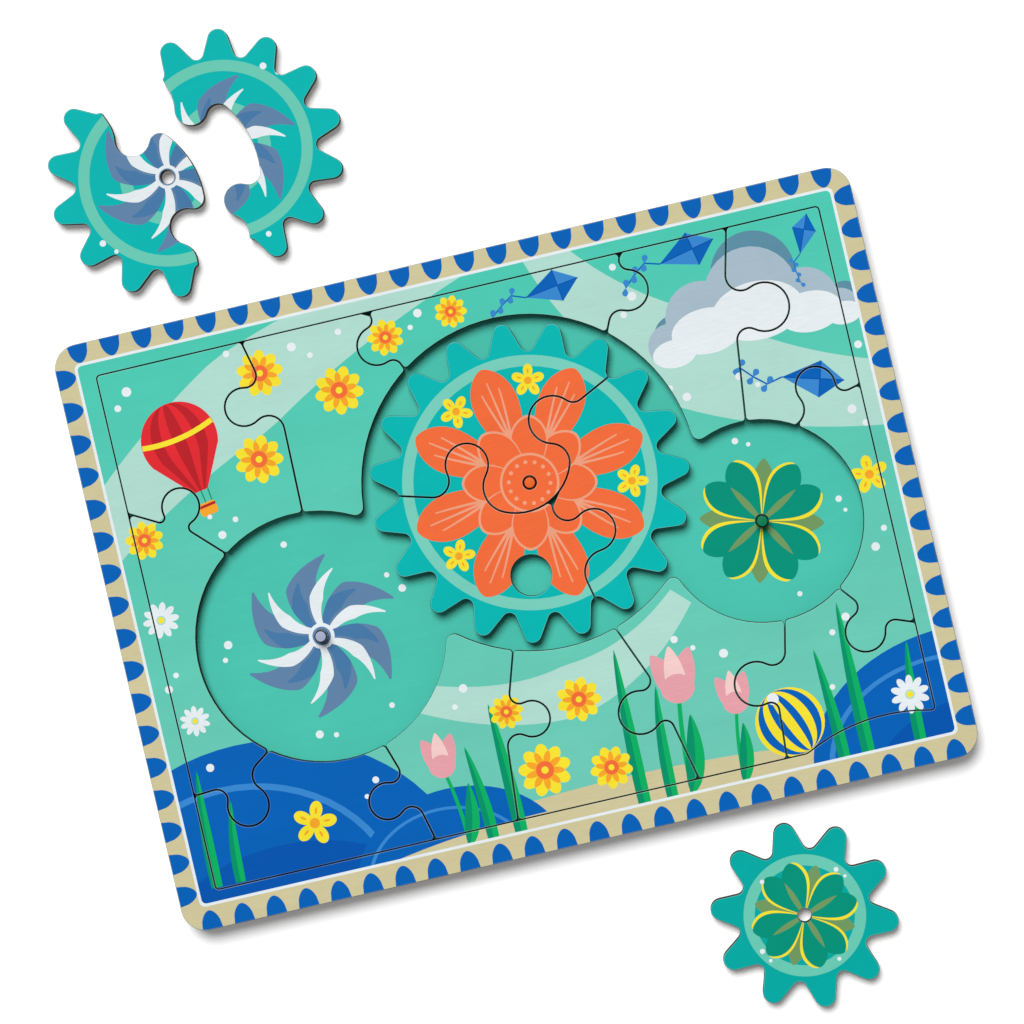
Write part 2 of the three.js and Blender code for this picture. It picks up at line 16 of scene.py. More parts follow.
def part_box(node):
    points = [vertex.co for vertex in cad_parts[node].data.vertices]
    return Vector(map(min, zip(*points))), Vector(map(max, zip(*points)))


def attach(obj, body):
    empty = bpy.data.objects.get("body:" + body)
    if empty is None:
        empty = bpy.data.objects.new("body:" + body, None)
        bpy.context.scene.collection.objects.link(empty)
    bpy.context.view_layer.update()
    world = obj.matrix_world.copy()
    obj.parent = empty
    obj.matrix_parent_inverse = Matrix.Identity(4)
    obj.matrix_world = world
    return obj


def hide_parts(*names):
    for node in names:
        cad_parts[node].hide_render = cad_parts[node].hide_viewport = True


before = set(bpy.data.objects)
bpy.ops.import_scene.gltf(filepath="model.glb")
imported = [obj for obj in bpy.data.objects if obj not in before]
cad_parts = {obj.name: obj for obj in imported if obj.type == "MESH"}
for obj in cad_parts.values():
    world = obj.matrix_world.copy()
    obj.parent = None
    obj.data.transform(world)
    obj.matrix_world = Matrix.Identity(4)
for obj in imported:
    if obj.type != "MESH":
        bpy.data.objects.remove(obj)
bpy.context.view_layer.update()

bl_info = {
    "name": "Wooden gear jigsaw tray",
    "version": (1, 0, 0),
    "blender": (4, 5, 0),
    "location": "View3D > Sidebar > Gear tray",
    "description": "Builds a printed wooden tray puzzle with three gears on pegs",
    "category": "Add Mesh",
}

MM = 0.001
TAU = 2 * math.pi
WHITE = (1.0, 1.0, 1.0, 1.0)
BLACK = (0.0, 0.0, 0.0, 1.0)

TRAY_PIECES = [
    "top_left_corner_piece", "top_left_piece", "top_middle_piece", "top_right_piece",
    "top_right_corner_piece", "right_piece", "bottom_right_corner_piece", "bottom_right_piece",
    "bottom_middle_piece", "bottom_left_piece", "bottom_left_corner_piece", "left_piece",
]
CENTRE_GEAR_PIECES = ["centre_gear_hub", "centre_gear_side", "centre_gear_crank"]

# How the boards are turned or laid, as the frame has them
CENTRE_GEAR_TURN = 11.7
LEFT_GEAR_TURN = 6.5
LEFT_GEAR_SIDE_TURN = 2.8
LEFT_GEAR_SIDE_APART = 30.8
LEFT_GEAR_SIDE_BEARING = 12.7
RIGHT_GEAR_TURN = 19.1

# The printed edges of the border, measured in from the tray's sides
LINE_FROM_LEFT = 9.6
LINE_FROM_RIGHT = 9.2
LINE_FROM_TOP = 9.6
LINE_FROM_BOTTOM = 11.6
LINE_WIDTH = 1.4
LINE_CORNER = 3.0
SCALLOP_DEPTH = 9.5
SCALLOP_WIDTH = 10.3
SCALLOP_FULLNESS = 1.8
SCALLOP_PITCH = 16.27
SCALLOPS_LONG = 24
SCALLOPS_SHORT = 17
LONG_ROWS_SHIFT = 0.4
SHORT_ROWS_SHIFT = 1.6

# Which part of a board a face belongs to, kept in the attribute "part"
PRINTED_TOP = 0.0
ROUNDED_EDGE = 1.0
SAWN_SIDE = 2.0
UNDERSIDE = 3.0

# Joining of corners that the pictures and the outlines share, in millimetres
MERGE = 2e-3
FINE_MERGE = 1e-5
LEAST_STEP = 0.07
ROUND_STEPS = 3

# Bearing of the finger hole on the middle gear, in degrees
FINGER_HOLE_BEARING = -113.8

# Where the sky's ink starts and ends its change from the tray's top to its bottom
SKY_TOP = 130.0
SKY_BOTTOM = -130.0

# The share by which the cut has browned the wood, and where it is blackened, in millimetres under the print.
# On the sawn sides the black is char; on the rounded edges it is char and painted shade, which darkens the
# seams and edges
SCORCH = 0.9
EDGE_CHAR_SHADE_STARTS = 0.05
EDGE_CHAR_SHADE_FULL = 0.09
CHAR_FADES = 0.3
CHAR_ENDS = 1.8

# Thickness of a ply in metres, and the share of it that a glue line takes
PLY = 0.00127
GLUE_LINE = 0.09

# The dark rim of a peg's top, in metres from its axis: painted shade that stands for the shaded gap round the
# peg
PEG_SHADE_STARTS = 0.00235
PEG_SHADE_FULL = 0.0027

# The table's half width and its drop under the wood, and the camera's place, in metres, with its field of
# view and its turns in degrees
TABLE_HALF = 8.0
TABLE_DROP = 0.00005
CAMERA_PLACE = (0.0777, 0.029)
CAMERA_VIEW = 14.358
CAMERA_TURNS = (-0.779, 2.029, -13.151)


def linear(code):
    """Linear colour of a six digit sRGB code."""
    parts = [int(code[i:i + 2], 16) / 255 for i in (0, 2, 4)]
    return tuple(p / 12.92 if p <= 0.04045 else ((p + 0.055) / 1.055) ** 2.4 for p in parts)


def colour(name, description, code):
    return FloatVectorProperty(name=name, description=description, subtype="COLOR", size=3,
                               min=0.0, max=1.0, default=linear(code))


def length(name, description, millimetres):
    return FloatProperty(name=name, description=description, unit="LENGTH", min=0.0,
                         default=millimetres * MM)


def share(name, description, value):
    return FloatProperty(name=name, description=description, subtype="FACTOR", min=0.0, max=1.0,
                         default=value)


def strength(name, description, value):
    return FloatProperty(name=name, description=description, min=0.0, default=value)


def tilt(name, description, degrees):
    return FloatProperty(name=name, description=description, subtype="ANGLE", default=math.radians(degrees))


class TrayInks(bpy.types.PropertyGroup):
    """Inks of the printed pictures"""
    sky: colour("Sky", "Field behind the picture, at the top", "4AC2AC")
    haze: colour("Haze", "Field behind the picture, at the bottom", "6AC2AF")
    swash: colour("Swash", "Pale bands across the sky", "AAD4C8")
    floor: colour("Floor", "Floors of the wells", "48BDA9")
    gear: colour("Gear", "Ground of the gears", "00AFAB")
    ring: colour("Ring", "Rings on the gears", "73C6B5")
    lagoon: colour("Lagoon", "Ground of the small gear", "00A29C")
    mint: colour("Mint", "Rings on the loose gears", "66C2AD")
    cobalt: colour("Cobalt", "Scallops, kites and hills", "005DB0")
    azure: colour("Azure", "Lighter panels of the kites and bands of the hills", "3682C8")
    navy: colour("Navy", "Shaded side of the hills", "0051A7")
    slate: colour("Slate", "Vanes of the windmill", "5C7EA1")
    steel: colour("Steel", "Shaded part of the vanes", "4474A1")
    grey: colour("Grey", "Cloud", "A1B6C2")
    dusk: colour("Dusk", "Shaded part of the cloud", "58889D")
    white: colour("White", "Line, daisies and dots", "DEE5E8")
    orange: colour("Orange", "The large flower", "E96838")
    apricot: colour("Apricot", "Veins and dots of the large flower", "E49B7C")
    yellow: colour("Yellow", "Small flowers", "EDDA2F")
    amber: colour("Amber", "Middles of the small flowers", "ECA028")
    red: colour("Red", "Balloon", "DA2830")
    brick: colour("Brick", "Shaded gores of the balloon", "B31F27")
    pink: colour("Pink", "Tulips", "DD9BA3")
    blush: colour("Blush", "Inner petals of the tulips", "EBC5C2")
    leaf: colour("Leaf", "Lighter half of the blades", "07A95E")
    stem: colour("Stem", "Darker half of the blades", "008C64")
    forest: colour("Forest", "Clover leaves", "008C74")
    olive: colour("Olive", "Sepals and veins of the clover", "6D935D")
    sand: colour("Sand", "Border and ground", "C8BF96")


class TrayPaints(bpy.types.PropertyGroup):
    """Paint of the pegs and colours of the bare wood"""
    left_peg: colour("Left peg", "Paint of the left peg", "A3ADC6")
    centre_peg: colour("Centre peg", "Paint of the middle peg", "E8662A")
    right_peg: colour("Right peg", "Paint of the right peg", "037A50")
    veneer: colour("Veneer", "Bare plywood", "C9AE86")
    core: colour("Core", "Dark plies and glue lines", "7D5C3E")
    scorched: colour("Scorched", "Sawn sides, browned by the cut", "2A180E")
    # Also painted shade: it blackens the rounded edges along the seams and the rims of the peg tops
    charred: colour("Charred", "Sawn sides just under the print", "0E0806")
    worn: colour("Worn edge", "Primer where the print has rubbed off", "CFE8DE")


class TraySizes(bpy.types.PropertyGroup):
    """Sizes of the finish"""
    edge_round: length("Edge round", "Rounding of the printed edges", 0.4)
    lower_bevel: length("Lower bevel", "Bevel of the lower edges", 0.3)
    peg_chamfer: length("Peg chamfer", "Rounding of the peg tops", 1.0)
    grain: share("Grain", "How much the grain shows through the ink", 0.8)
    wear: share("Wear", "How much ink has rubbed off the edges", 0.3)


class StudioSettings(bpy.types.PropertyGroup):
    """Camera and light"""
    camera_height: length("Camera height", "Height of the camera above the table", 2000)
    key: strength("Key light", "Strength of the large light", 3.3)
    key_spread: tilt("Key spread", "Width of the large light", 36)
    key_lean: tilt("Key lean", "Lean of the large light from upright", 32)
    key_bearing: tilt("Key bearing", "Bearing of the large light", 102)
    fill: strength("Fill", "Strength of the light from all round", 0.19)
    paper: colour("Table", "Colour of the table", "FFFFFF")
    # Painted light: the table's glow lightens the shadows cast on it
    table_shadow_glow: share("Table glow", "Light that comes up through the table", 0.13)


# Plain shapes: each gives the corners of a closed outline, in millimetres

def placed(shape, x, y, turn=0.0, size=1.0):
    """The shape scaled by size, turned anticlockwise by an angle in degrees, and moved to x, y."""
    c, s = math.cos(math.radians(turn)), math.sin(math.radians(turn))
    return size * np.asarray(shape) @ np.array([[c, s], [-s, c]]) + (x, y)


def ellipse(x, y, along, across, steps=40):
    """Centre plus along times the cosine and across times the sine of an even angle."""
    t = np.linspace(0, TAU, steps, endpoint=False)
    return np.stack([x + along * np.cos(t), y + across * np.sin(t)], 1)


def circle(x, y, radius, steps=32):
    """An ellipse that reaches the same way along as across."""
    return ellipse(x, y, radius, radius, steps)


def blossom(radius, heart, petals, steps=16):
    """Polar curve: from heart to radius and back for each petal, as the root of a raised cosine."""
    t = np.linspace(0, TAU, petals * steps, endpoint=False)
    reach = heart + (radius - heart) * (0.5 + 0.5 * np.cos(petals * t)) ** 0.45
    return np.stack([reach * np.cos(t), reach * np.sin(t)], 1)


def petal(span, width, fullest=0.5, roundness=0.5, bend=0.0, steps=22):
    """From the origin along +X: half the width times the sine of half a turn, reached at the fullest share
    of the span and raised to the roundness, on a middle line that bends aside with the square of x."""
    along = 0.5 - 0.5 * np.cos(np.linspace(0, math.pi, steps))
    skew = math.log(0.5) / math.log(fullest)
    half = 0.5 * width * np.sin(math.pi * along ** skew) ** roundness
    middle = bend * along ** 2
    upper = np.stack([span * along, middle + half], 1)
    lower = np.stack([span * along, middle - half], 1)
    return np.concatenate([lower, upper[-2:0:-1]])


def half_petal(span, width, fullest=0.5, roundness=0.5, bend=0.0, steps=22):
    """The side of a petal that lies to the left of its middle line."""
    whole = petal(span, width, fullest, roundness, bend, steps)
    along = whole[:steps, 0]
    middle = np.stack([along, bend * (along / span) ** 2], 1)
    return np.concatenate([middle, whole[steps:]])


def ribbon(start, pull, end, widths):
    """A band along the quadratic curve from start to end that pull draws aside. Its half width runs evenly
    through the given widths."""
    t = np.linspace(0, 1, 30)[:, None]
    start, pull, end = (np.array(p, float) for p in (start, pull, end))
    path = (1 - t) ** 2 * start + 2 * t * (1 - t) * pull + t ** 2 * end
    along = np.gradient(path, axis=0)
    along /= np.linalg.norm(along, axis=1, keepdims=True)
    aside = np.stack([-along[:, 1], along[:, 0]], 1)
    half = np.interp(t[:, 0], np.linspace(0, 1, len(widths)), widths)[:, None]
    return np.concatenate([path - half * aside, (path + half * aside)[::-1]])


def blade(height, width, lean=0.0, steps=20):
    """A grass blade that stands on the origin along +Y: its half width falls as the square root of what is
    left of its height, and its tip leans aside with the square of the height. Gives the blade and its
    right half."""
    up = np.linspace(0, 1, steps) ** 0.9
    half = 0.5 * width * np.sqrt(1 - up) * (0.62 + 0.76 * up * (1 - up))
    middle = lean * up ** 2
    right = np.stack([middle + half, height * up], 1)
    left = np.stack([middle - half, height * up], 1)
    spine = np.stack([middle, height * up], 1)
    return np.concatenate([right, left[-2::-1]]), np.concatenate([right, spine[-2::-1]])


def box(left, bottom, right, top, corner=0.0, steps=6):
    """Four corners, each a quarter circle of the corner radius."""
    if corner == 0.0:
        return np.array([(left, bottom), (right, bottom), (right, top), (left, top)], float)
    t = np.linspace(0, TAU / 4, steps)
    rounds = []
    for quarter, (x, y) in enumerate([(right, top), (left, top), (left, bottom), (right, bottom)]):
        turn = t + quarter * TAU / 4
        inset_x = x - math.copysign(corner, x - (left + right) / 2)
        inset_y = y - math.copysign(corner, y - (bottom + top) / 2)
        rounds.append(np.stack([inset_x + corner * np.cos(turn), inset_y + corner * np.sin(turn)], 1))
    return np.concatenate(rounds)


# Motifs: each gives a short picture

def moved(picture, x, y, turn=0.0, size=1.0):
    """The picture with every outline placed alike."""
    return [(ink, placed(outline, x, y, turn, size)) for ink, outline in picture]


def scattered(motif, *places):
    """The motif at each place, given as x, y, turn and size."""
    return [patch for place in places for patch in moved(motif(), *place)]


def around(count, picture, first=0.0):
    """The picture at each of a count of even turns about the origin."""
    return [patch for k in range(count) for patch in moved(picture, 0, 0, first + 360 * k / count)]


def dots(places):
    """White dots, given as x, y and radius."""
    return [("white", circle(x, y, radius, 20)) for x, y, radius in places]


def primrose(petals=5):
    """A yellow flower of radius 10 with an amber heart and a dot in each petal."""
    picture = [("yellow", blossom(10, 3.6, petals))]
    picture += around(petals, [("amber", ellipse(5.6, 0, 1.5, 0.55, steps=16))])
    return picture + [("amber", circle(0, 0, 2.3, 20))]


def marigold(petals=9):
    """A yellow flower of radius 10 with amber petals over it and an orange heart."""
    picture = [("yellow", blossom(10, 7.2, petals))]
    picture += around(petals, [("amber", petal(7.4, 2.5, 0.6))], 180 / petals)
    return picture + [("orange", circle(0, 0, 3.4, 24)), ("yellow", circle(0, 0, 1.4, 16))]


def daisy(petals=10):
    """A white flower of radius 10 on thin petals."""
    picture = around(petals, [("white", petal(10, 3.7, 0.66))])
    return picture + [("swash", circle(0, 0, 2.6, 20)), ("yellow", circle(0, 0, 1.7, 16))]


def kite(tail_bend=5.0, bows=3):
    """A four-sided kite about 32 long, its nose along +X, with spars and a tail of bows."""
    nose, shoulder, wing, end = 17, 4.5, 9.5, -15
    picture = [
        ("cobalt", np.array([(end, 0), (shoulder, -wing), (nose, 0), (shoulder, wing)], float)),
        ("azure", np.array([(end, 0), (shoulder, -wing), (shoulder, 0)], float)),
        ("azure", np.array([(nose, 0), (shoulder, wing), (shoulder, 0)], float)),
        ("navy", box(end, -0.35, nose, 0.35)),
        ("navy", box(shoulder - 0.35, -wing, shoulder + 0.35, wing)),
    ]
    tail = [(end - 7.4 * (k + 1), tail_bend * math.sin(1.5 * (k + 1))) for k in range(bows)]
    before = (end, 0.0)
    for x, y in tail:
        middle = ((before[0] + x) / 2, (before[1] + y) / 2)
        picture.append(("cobalt", ribbon(before, middle, (x, y), (0.42, 0.42))))
        before = (x, y)
    for x, y in tail:
        for side in (60, 240):
            picture.append(("azure", placed(petal(4.6, 3.3, 0.66, 0.6), x, y, side)))
    return picture


def balloon(radius=19.0):
    """A hot air balloon whose basket hangs along -Y. Its envelope is most of a circle that tapers to a
    mouth, and the gores are the same outline, narrower."""
    angle = np.radians(np.linspace(-24, 204, 40))
    rim = radius * np.column_stack([np.cos(angle), np.sin(angle)])
    envelope = np.concatenate([rim, [(-3.6, -1.42 * radius), (3.6, -1.42 * radius)]])
    picture = []
    for aside in (-3.6, 0, 3.6):
        rope = ((aside, -1.4 * radius), (0.94 * aside, -1.6 * radius), (0.9 * aside, -1.75 * radius))
        picture.append(("stem", ribbon(*rope, (0.3, 0.3))))
    for width, ink in ((1.0, "red"), (0.7, "brick"), (0.42, "red"), (0.16, "brick")):
        picture.append((ink, envelope * (width, 1)))
    band = ribbon((-0.97 * radius, 3.2), (0, -1.6), (0.97 * radius, 3.2), (1.3, 1.3))
    picture.append(("yellow", band))
    return picture + [("amber", box(-4.4, -2.08 * radius, 4.4, -1.74 * radius, 1.6)),
                      ("brick", box(-4.4, -1.86 * radius, 4.4, -1.79 * radius))]


def cloud(puffs):
    """A bank of puffs, given as x, y and radius: grey circles with dusk behind and white ellipses below."""
    picture = [("dusk", circle(x + 3, y + 0.42 * r, 0.9 * r)) for x, y, r in puffs[::2]]
    picture += [("grey", circle(x, y, r)) for x, y, r in puffs]
    picture += [("white", ellipse(x + 1, y - 0.38 * r, 0.98 * r, 0.62 * r)) for x, y, r in puffs]
    return picture


def grass(x, y, blades):
    """Blades standing on x, y, as rows of place, height, width and lean, each with a lighter half."""
    picture = []
    for aside, height, width, lean in blades:
        whole, bright = blade(height, width, lean)
        picture += moved([("stem", whole), ("leaf", bright)], x + aside, y)
    return picture


def tulip(lean=0.0):
    """A pink tulip 52 tall that stands on the origin: a stem, a leaf and a cup of three petals."""
    picture = [("leaf", ribbon((0, 0), (0, 20), (lean, 36), (0.9, 0.7)))]
    side_leaf = (26, 6.5, 0.4, 0.7, 5)
    picture += moved([("leaf", petal(*side_leaf)), ("stem", half_petal(*side_leaf))], 0, 2, 68)
    for side, ink in ((-24, "pink"), (24, "pink"), (0, "blush")):
        width = 8.6 if side else 7.0
        picture.append((ink, placed(petal(19, width, 0.42, 0.7), lean + side * 0.05, 33, 90 + side)))
    picture.append(("pink", placed(petal(10, 11.5, 0.5, 0.5), lean, 32.4, 90)))
    return picture


def striped_ball(radius=17.0):
    """A yellow ball with cobalt stripes along its meridians."""
    picture = [("yellow", circle(0, 0, radius))]
    for width, ink in ((0.86, "cobalt"), (0.62, "yellow"), (0.36, "cobalt"), (0.14, "yellow")):
        picture.append((ink, ellipse(0, 0, width * radius, radius * math.sqrt(0.98))))
    return picture + [("white", circle(0, radius * 0.82, radius * 0.17, 20))]


def hill(x, y, half_length, height):
    """A cobalt hill: an ellipse about its foot, with a shaded flank and foot and a lighter contour band."""
    picture = []
    for ink, along, down, half, rise, steps in (
        ("cobalt", 0, 0, 1, 1, 72), ("navy", 0.22, 0.05, 0.62, 0.46, 40), ("azure", -0.12, 0, 0.78, 0.79, 60),
        ("cobalt", -0.12, 0, 0.78 * 0.755 / 0.79, 0.755, 60), ("navy", 0.1, 0.1, 0.7, 0.5, 56),
    ):
        middle = (x + along * half_length, y - down * height)
        picture.append((ink, ellipse(*middle, half * half_length, rise * height, steps)))
    return picture


def windmill(reach, vanes=6):
    """A toy windmill: each vane is a curved slate blade, steel towards the hub, with a white one inside
    its bend, all under a white hub."""
    vane = [
        ("slate", ribbon((0.06, 0.05), (0.5, 0.52), (1.0, 0.05), (0.05, 0.205, 0.012))),
        ("white", ribbon((0.1, 0.0), (0.46, 0.24), (0.84, -0.06), (0.03, 0.085, 0.008))),
        ("steel", ribbon((0.08, 0.09), (0.3, 0.38), (0.62, 0.34), (0.03, 0.1, 0.01))),
    ]
    hub = [("white", circle(0, 0, 0.16, 28)), ("slate", circle(0, 0, 0.115, 24))]
    return moved(around(vanes, vane) + hub, 0, 0, size=reach)


def clover(reach, leaves=4):
    """A clover: olive sepals, then dark leaves of two lobes with a yellow edge and an olive vein."""
    leaf = [(ink, placed(petal(0.95, width, 0.66, 0.6), 0, 0, aside)) for ink, aside, width in (
        ("yellow", -19, 0.44), ("yellow", 18, 0.44), ("forest", -15, 0.42), ("forest", 15, 0.42))]
    leaf.append(("olive", petal(0.66, 0.1, 0.5, 0.8)))
    picture = around(leaves, [("olive", petal(0.9, 0.34, 0.55, 0.7))], 180 / leaves)
    return moved(picture + around(leaves, leaf), 0, 0, size=reach)


# Pictures of the boards

def tray_half():
    """Half the tray's length and width."""
    low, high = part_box("frame_rim")
    return high[0] / MM, high[1] / MM


def peg_place(peg):
    """A peg's axis: the middle of its box."""
    low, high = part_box(peg)
    return (low[0] + high[0]) / 2 / MM, (low[1] + high[1]) / 2 / MM


def border():
    """Sand with scallops on the tray's edge, then the white line, then the sky inside it."""
    half_x, half_y = tray_half()
    t = np.linspace(-1, 1, 17)
    bump = np.stack([0.5 * SCALLOP_WIDTH * t, SCALLOP_DEPTH * np.sqrt(1 - np.abs(t) ** SCALLOP_FULLNESS)], 1)
    scallop = np.concatenate([bump[::-1], [(-0.5 * SCALLOP_WIDTH, -1.0), (0.5 * SCALLOP_WIDTH, -1.0)]])
    picture = []
    for turn in (0, 180, 90, 270):
        is_long = turn in (0, 180)
        count, away = (SCALLOPS_LONG, half_y) if is_long else (SCALLOPS_SHORT, half_x)
        shift = (LONG_ROWS_SHIFT, 0) if is_long else (0, SHORT_ROWS_SHIFT)
        for k in range(count):
            along = (k - (count - 1) / 2) * SCALLOP_PITCH
            place = placed([(along, -away)], *shift, turn)[0]
            picture.append(("cobalt", placed(scallop, *place, turn)))
    left, right = -half_x + LINE_FROM_LEFT, half_x - LINE_FROM_RIGHT
    bottom, top = -half_y + LINE_FROM_BOTTOM, half_y - LINE_FROM_TOP
    picture.append(("white", box(left, bottom, right, top, LINE_CORNER)))
    inner = box(left + LINE_WIDTH, bottom + LINE_WIDTH, right - LINE_WIDTH, top - LINE_WIDTH,
                LINE_CORNER - LINE_WIDTH / 2)
    picture.append(("sky", inner))
    return picture


def meadow():
    """The picture inside the line: swashes, a balloon, a cloud with kites, flowers, hills and grass."""
    picture = [
        ("swash", ribbon((-215, 34), (-128, 118), (20, 150), (12, 22, 8))),
        ("swash", ribbon((40, 150), (84, 52), (215, 30), (8, 24, 14))),
        ("swash", ribbon((-62, -60), (20, -96), (74, -40), (7, 13, 6))),
    ]
    picture += cloud([(97, 80, 11), (115, 90, 18), (141, 96, 23), (166, 87, 16), (182, 80, 9)])
    for x, y, turn, size, bend in ((46, 121, 8, 0.85, 4), (114, 123, 12, 0.9, 4), (160, 49, -16, 0.95, -4),
                                   (172, 118, 68, 0.62, 4)):
        picture += moved(kite(bend), x, y, turn, size)
    picture += scattered(marigold, (-102, 113, 0, 1.15), (-66, 96, 24, 1.2), (-112, 72, 30, 1.2),
                         (-176, 46, 8, 0.95), (-38, 116, 12, 0.9), (-4, 121, 30, 0.8))
    picture += scattered(balloon, (-148, 90, 10))
    picture += scattered(daisy, (-177, 6, 0, 0.9), (-172, -46, 12, 0.75))
    picture += scattered(primrose, (177, -3, 20, 0.95))
    picture.append(("sand", ellipse(30, -166, 190, 46, steps=72)))
    for x, y, half_length, height in ((-156, -150, 100, 88), (-60, -146, 52, 40), (196, -142, 78, 58)):
        picture += hill(x, y, half_length, height)
    picture.append(("sand", ellipse(-10, -178, 160, 50, steps=72)))
    picture += scattered(primrose, (-126, -108, 0, 1.1))
    picture += grass(-184, -128, [(4, 58, 9, 3), (16, 40, 8, 4)])
    picture += grass(4, -136, [(-46, 48, 9, -4), (-32, 66, 10, -2), (30, 78, 10, 2), (44, 56, 9, 4)])
    picture += grass(150, -138, [(-16, 58, 9, -3), (-4, 78, 10, 1), (22, 52, 9, 4)])
    for x, lean, size in ((-54, -4, 1.15), (58, 3, 1.45), (84, 4, 1.1)):
        picture += moved(tulip(lean), x, -138, 0, size)
    picture += scattered(marigold, (-10, -108, 8, 1.3), (14, -78, 30, 1.1), (22, -114, 22, 1.05),
                         (-22, -76, 0, 0.85))
    picture += scattered(striped_ball, (112, -112, 24))
    picture += scattered(daisy, (172, -112, 10, 0.95))
    picture += dots([
        (-174, 112, 1.7), (-168, 119, 2.4), (-116, 126, 1.6), (-84, 122, 2.2), (-76, 116, 1.4),
        (-138, 40, 2.0), (-130, 46, 1.4), (-142, 50, 1.2), (-60, 124, 1.6), (-20, 124, 2.1),
        (-25, 118, 1.3), (78, 124, 1.7), (78, 100, 1.6), (84, 108, 2.2), (92, 60, 1.5), (99, 54, 2.1),
        (126, 58, 1.8), (134, 52, 1.3), (186, 60, 1.9), (181, 22, 1.6), (176, 30, 2.2), (178, -30, 1.5),
        (172, -38, 2.1), (-170, -70, 2.0), (-176, -22, 1.4), (-181, -28, 2.0), (-92, -94, 1.7),
        (-98, -101, 1.2), (-40, -60, 2.1), (-46, -68, 1.4), (66, -60, 1.8), (74, -66, 1.3), (88, -72, 2.2),
        (142, -74, 1.5), (150, -68, 2.0), (136, -100, 1.4),
    ])
    return picture


def field():
    """The border with the meadow inside its line, and the number of the patch that the meadow stays in."""
    edging = border()
    return edging + meadow(), len(edging) - 1


def well_floors():
    """The same motifs as on the loose gears, round the two outer pegs."""
    half_x, half_y = tray_half()
    picture = [("floor", box(-0.96 * half_x, -0.96 * half_y, 0.96 * half_x, 0.96 * half_y))]
    x, y = peg_place("left_peg")
    picture += moved(windmill(40), x, y, 12)
    picture += moved(dots([(44, 14, 1.9), (38, 22, 1.3), (-46, 6, 2.1), (-49, -1, 1.3), (-12, -47, 2.0),
                           (-4, -49, 1.3), (26, -41, 1.4), (-8, 48, 1.6)]), x, y)
    x, y = peg_place("right_peg")
    picture += moved(clover(34), x, y, 30)
    picture += moved(dots([(39, 2, 1.6), (41, -4, 1.0), (-4, 41, 1.6), (2, 38, 1.1), (-38, 8, 1.5),
                           (10, -39, 1.3)]), x, y)
    return picture


def rings(*edges, ring="ring", ground="gear"):
    """Rings between the given inner and outer radii, on the gear's ground."""
    picture = []
    for inner, outer in edges[::-1]:
        picture += [(ring, circle(0, 0, outer, 96)), (ground, circle(0, 0, inner, 72))]
    return picture


def great_flower():
    """The middle gear's orange flower: long petals with apricot veins, short ones with an apricot edge
    over them, and a heart ringed with dots. The finger hole is between two long petals, and yellow flowers
    stand between others."""
    count = 8
    step = 360 / count
    first = FINGER_HOLE_BEARING + step / 2
    long_petal = [("orange", petal(60, 22.5, 0.7, 0.6))]
    for bend, end in ((-7, -4.6), (0, 0), (7, 4.6)):
        vein = ribbon((24, 0.1 * bend), (40, 0.55 * bend), (53 - abs(end), end), (0.7, 0.35))
        long_petal.append(("apricot", vein))
    short_petal = [("apricot", petal(33.2, 18.6, 0.64, 0.55)), ("orange", petal(32, 17, 0.64, 0.55))]
    picture = rings((26.5, 32.5), (57, 62.5)) + around(count, long_petal, first)
    picture += around(count, short_petal, first + step / 2)
    picture += [("apricot", circle(0, 0, 14.6, 48)), ("orange", circle(0, 0, 13.4, 48))]
    for k in range(14):
        picture.append(("apricot", circle(*placed([(10.2, 0)], 0, 0, 360 * k / 14)[0], 1.0, 16)))
    for k in (1, 3, 4, 6):
        turn = first + (k + 0.5) * step
        picture += moved(primrose(), *placed([(50, 0)], 0, 0, turn)[0], turn, 0.82)
    return picture


# Boards: outline from the frame, picture on top, profile round the edge

def boundary_loops(triangles):
    """Closed rows of the edges that only one triangle has, with the wood on their left, and the triangle
    that owns each edge."""
    start = triangles.ravel()
    end = np.roll(triangles, -1, axis=1).ravel()
    owner = np.repeat(np.arange(len(triangles)), 3)
    count = int(triangles.max()) + 1
    single = ~np.isin(start * count + end, end * count + start)
    follows = dict(zip(start[single].tolist(), zip(end[single].tolist(), owner[single].tolist())))
    loops = []
    while follows:
        corner = next(iter(follows))
        ring, owners = [], []
        while corner in follows:
            ring.append(corner)
            corner, piece = follows.pop(corner)
            owners.append(piece)
        loops.append((np.array(ring), np.array(owners)))
    return loops


def signed_area(outline):
    """Half the sum of each corner's cross product with the next, positive where they run anticlockwise."""
    x, y = outline.T
    return 0.5 * float(np.sum(x * np.roll(y, -1) - y * np.roll(x, -1)))


def board_outline(node):
    """Loops of a frame node's highest flat face in millimetres, the outer one first, and its two heights."""
    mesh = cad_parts[node].data
    corners = np.empty(3 * len(mesh.vertices), np.float32)
    mesh.vertices.foreach_get("co", corners)
    corners = corners.reshape(-1, 3).astype(float) / MM
    mesh.calc_loop_triangles()
    faces = np.empty(3 * len(mesh.loop_triangles), np.int32)
    mesh.loop_triangles.foreach_get("vertices", faces)
    points, merged = np.unique(np.round(corners, 3), axis=0, return_inverse=True)
    faces = merged.ravel()[faces].reshape(-1, 3)
    low, high = points[:, 2].min(), points[:, 2].max()
    top = faces[(points[faces][:, :, 2] > high - 0.01).all(axis=1)]
    loops = [without_steps(points[ring][:, :2]) for ring, _ in boundary_loops(top)]
    return sorted(loops, key=signed_area, reverse=True), low, high


def without_steps(loop):
    """The loop without the corners that lie hardly a step from the one before."""
    steps = np.linalg.norm(loop - np.roll(loop, 1, axis=0), axis=1)
    return loop[steps > LEAST_STEP]


def inset(loop, distance):
    """The loop moved into its wood: each corner goes along the sum of its two edge normals, over one plus
    the cosine of the turn there."""
    edge = np.roll(loop, -1, axis=0) - loop
    edge /= np.linalg.norm(edge, axis=1, keepdims=True)
    normal = np.stack([-edge[:, 1], edge[:, 0]], 1)
    before = np.roll(normal, 1, axis=0)
    return loop + distance * (normal + before) / (1 + np.sum(normal * before, axis=1))[:, None]


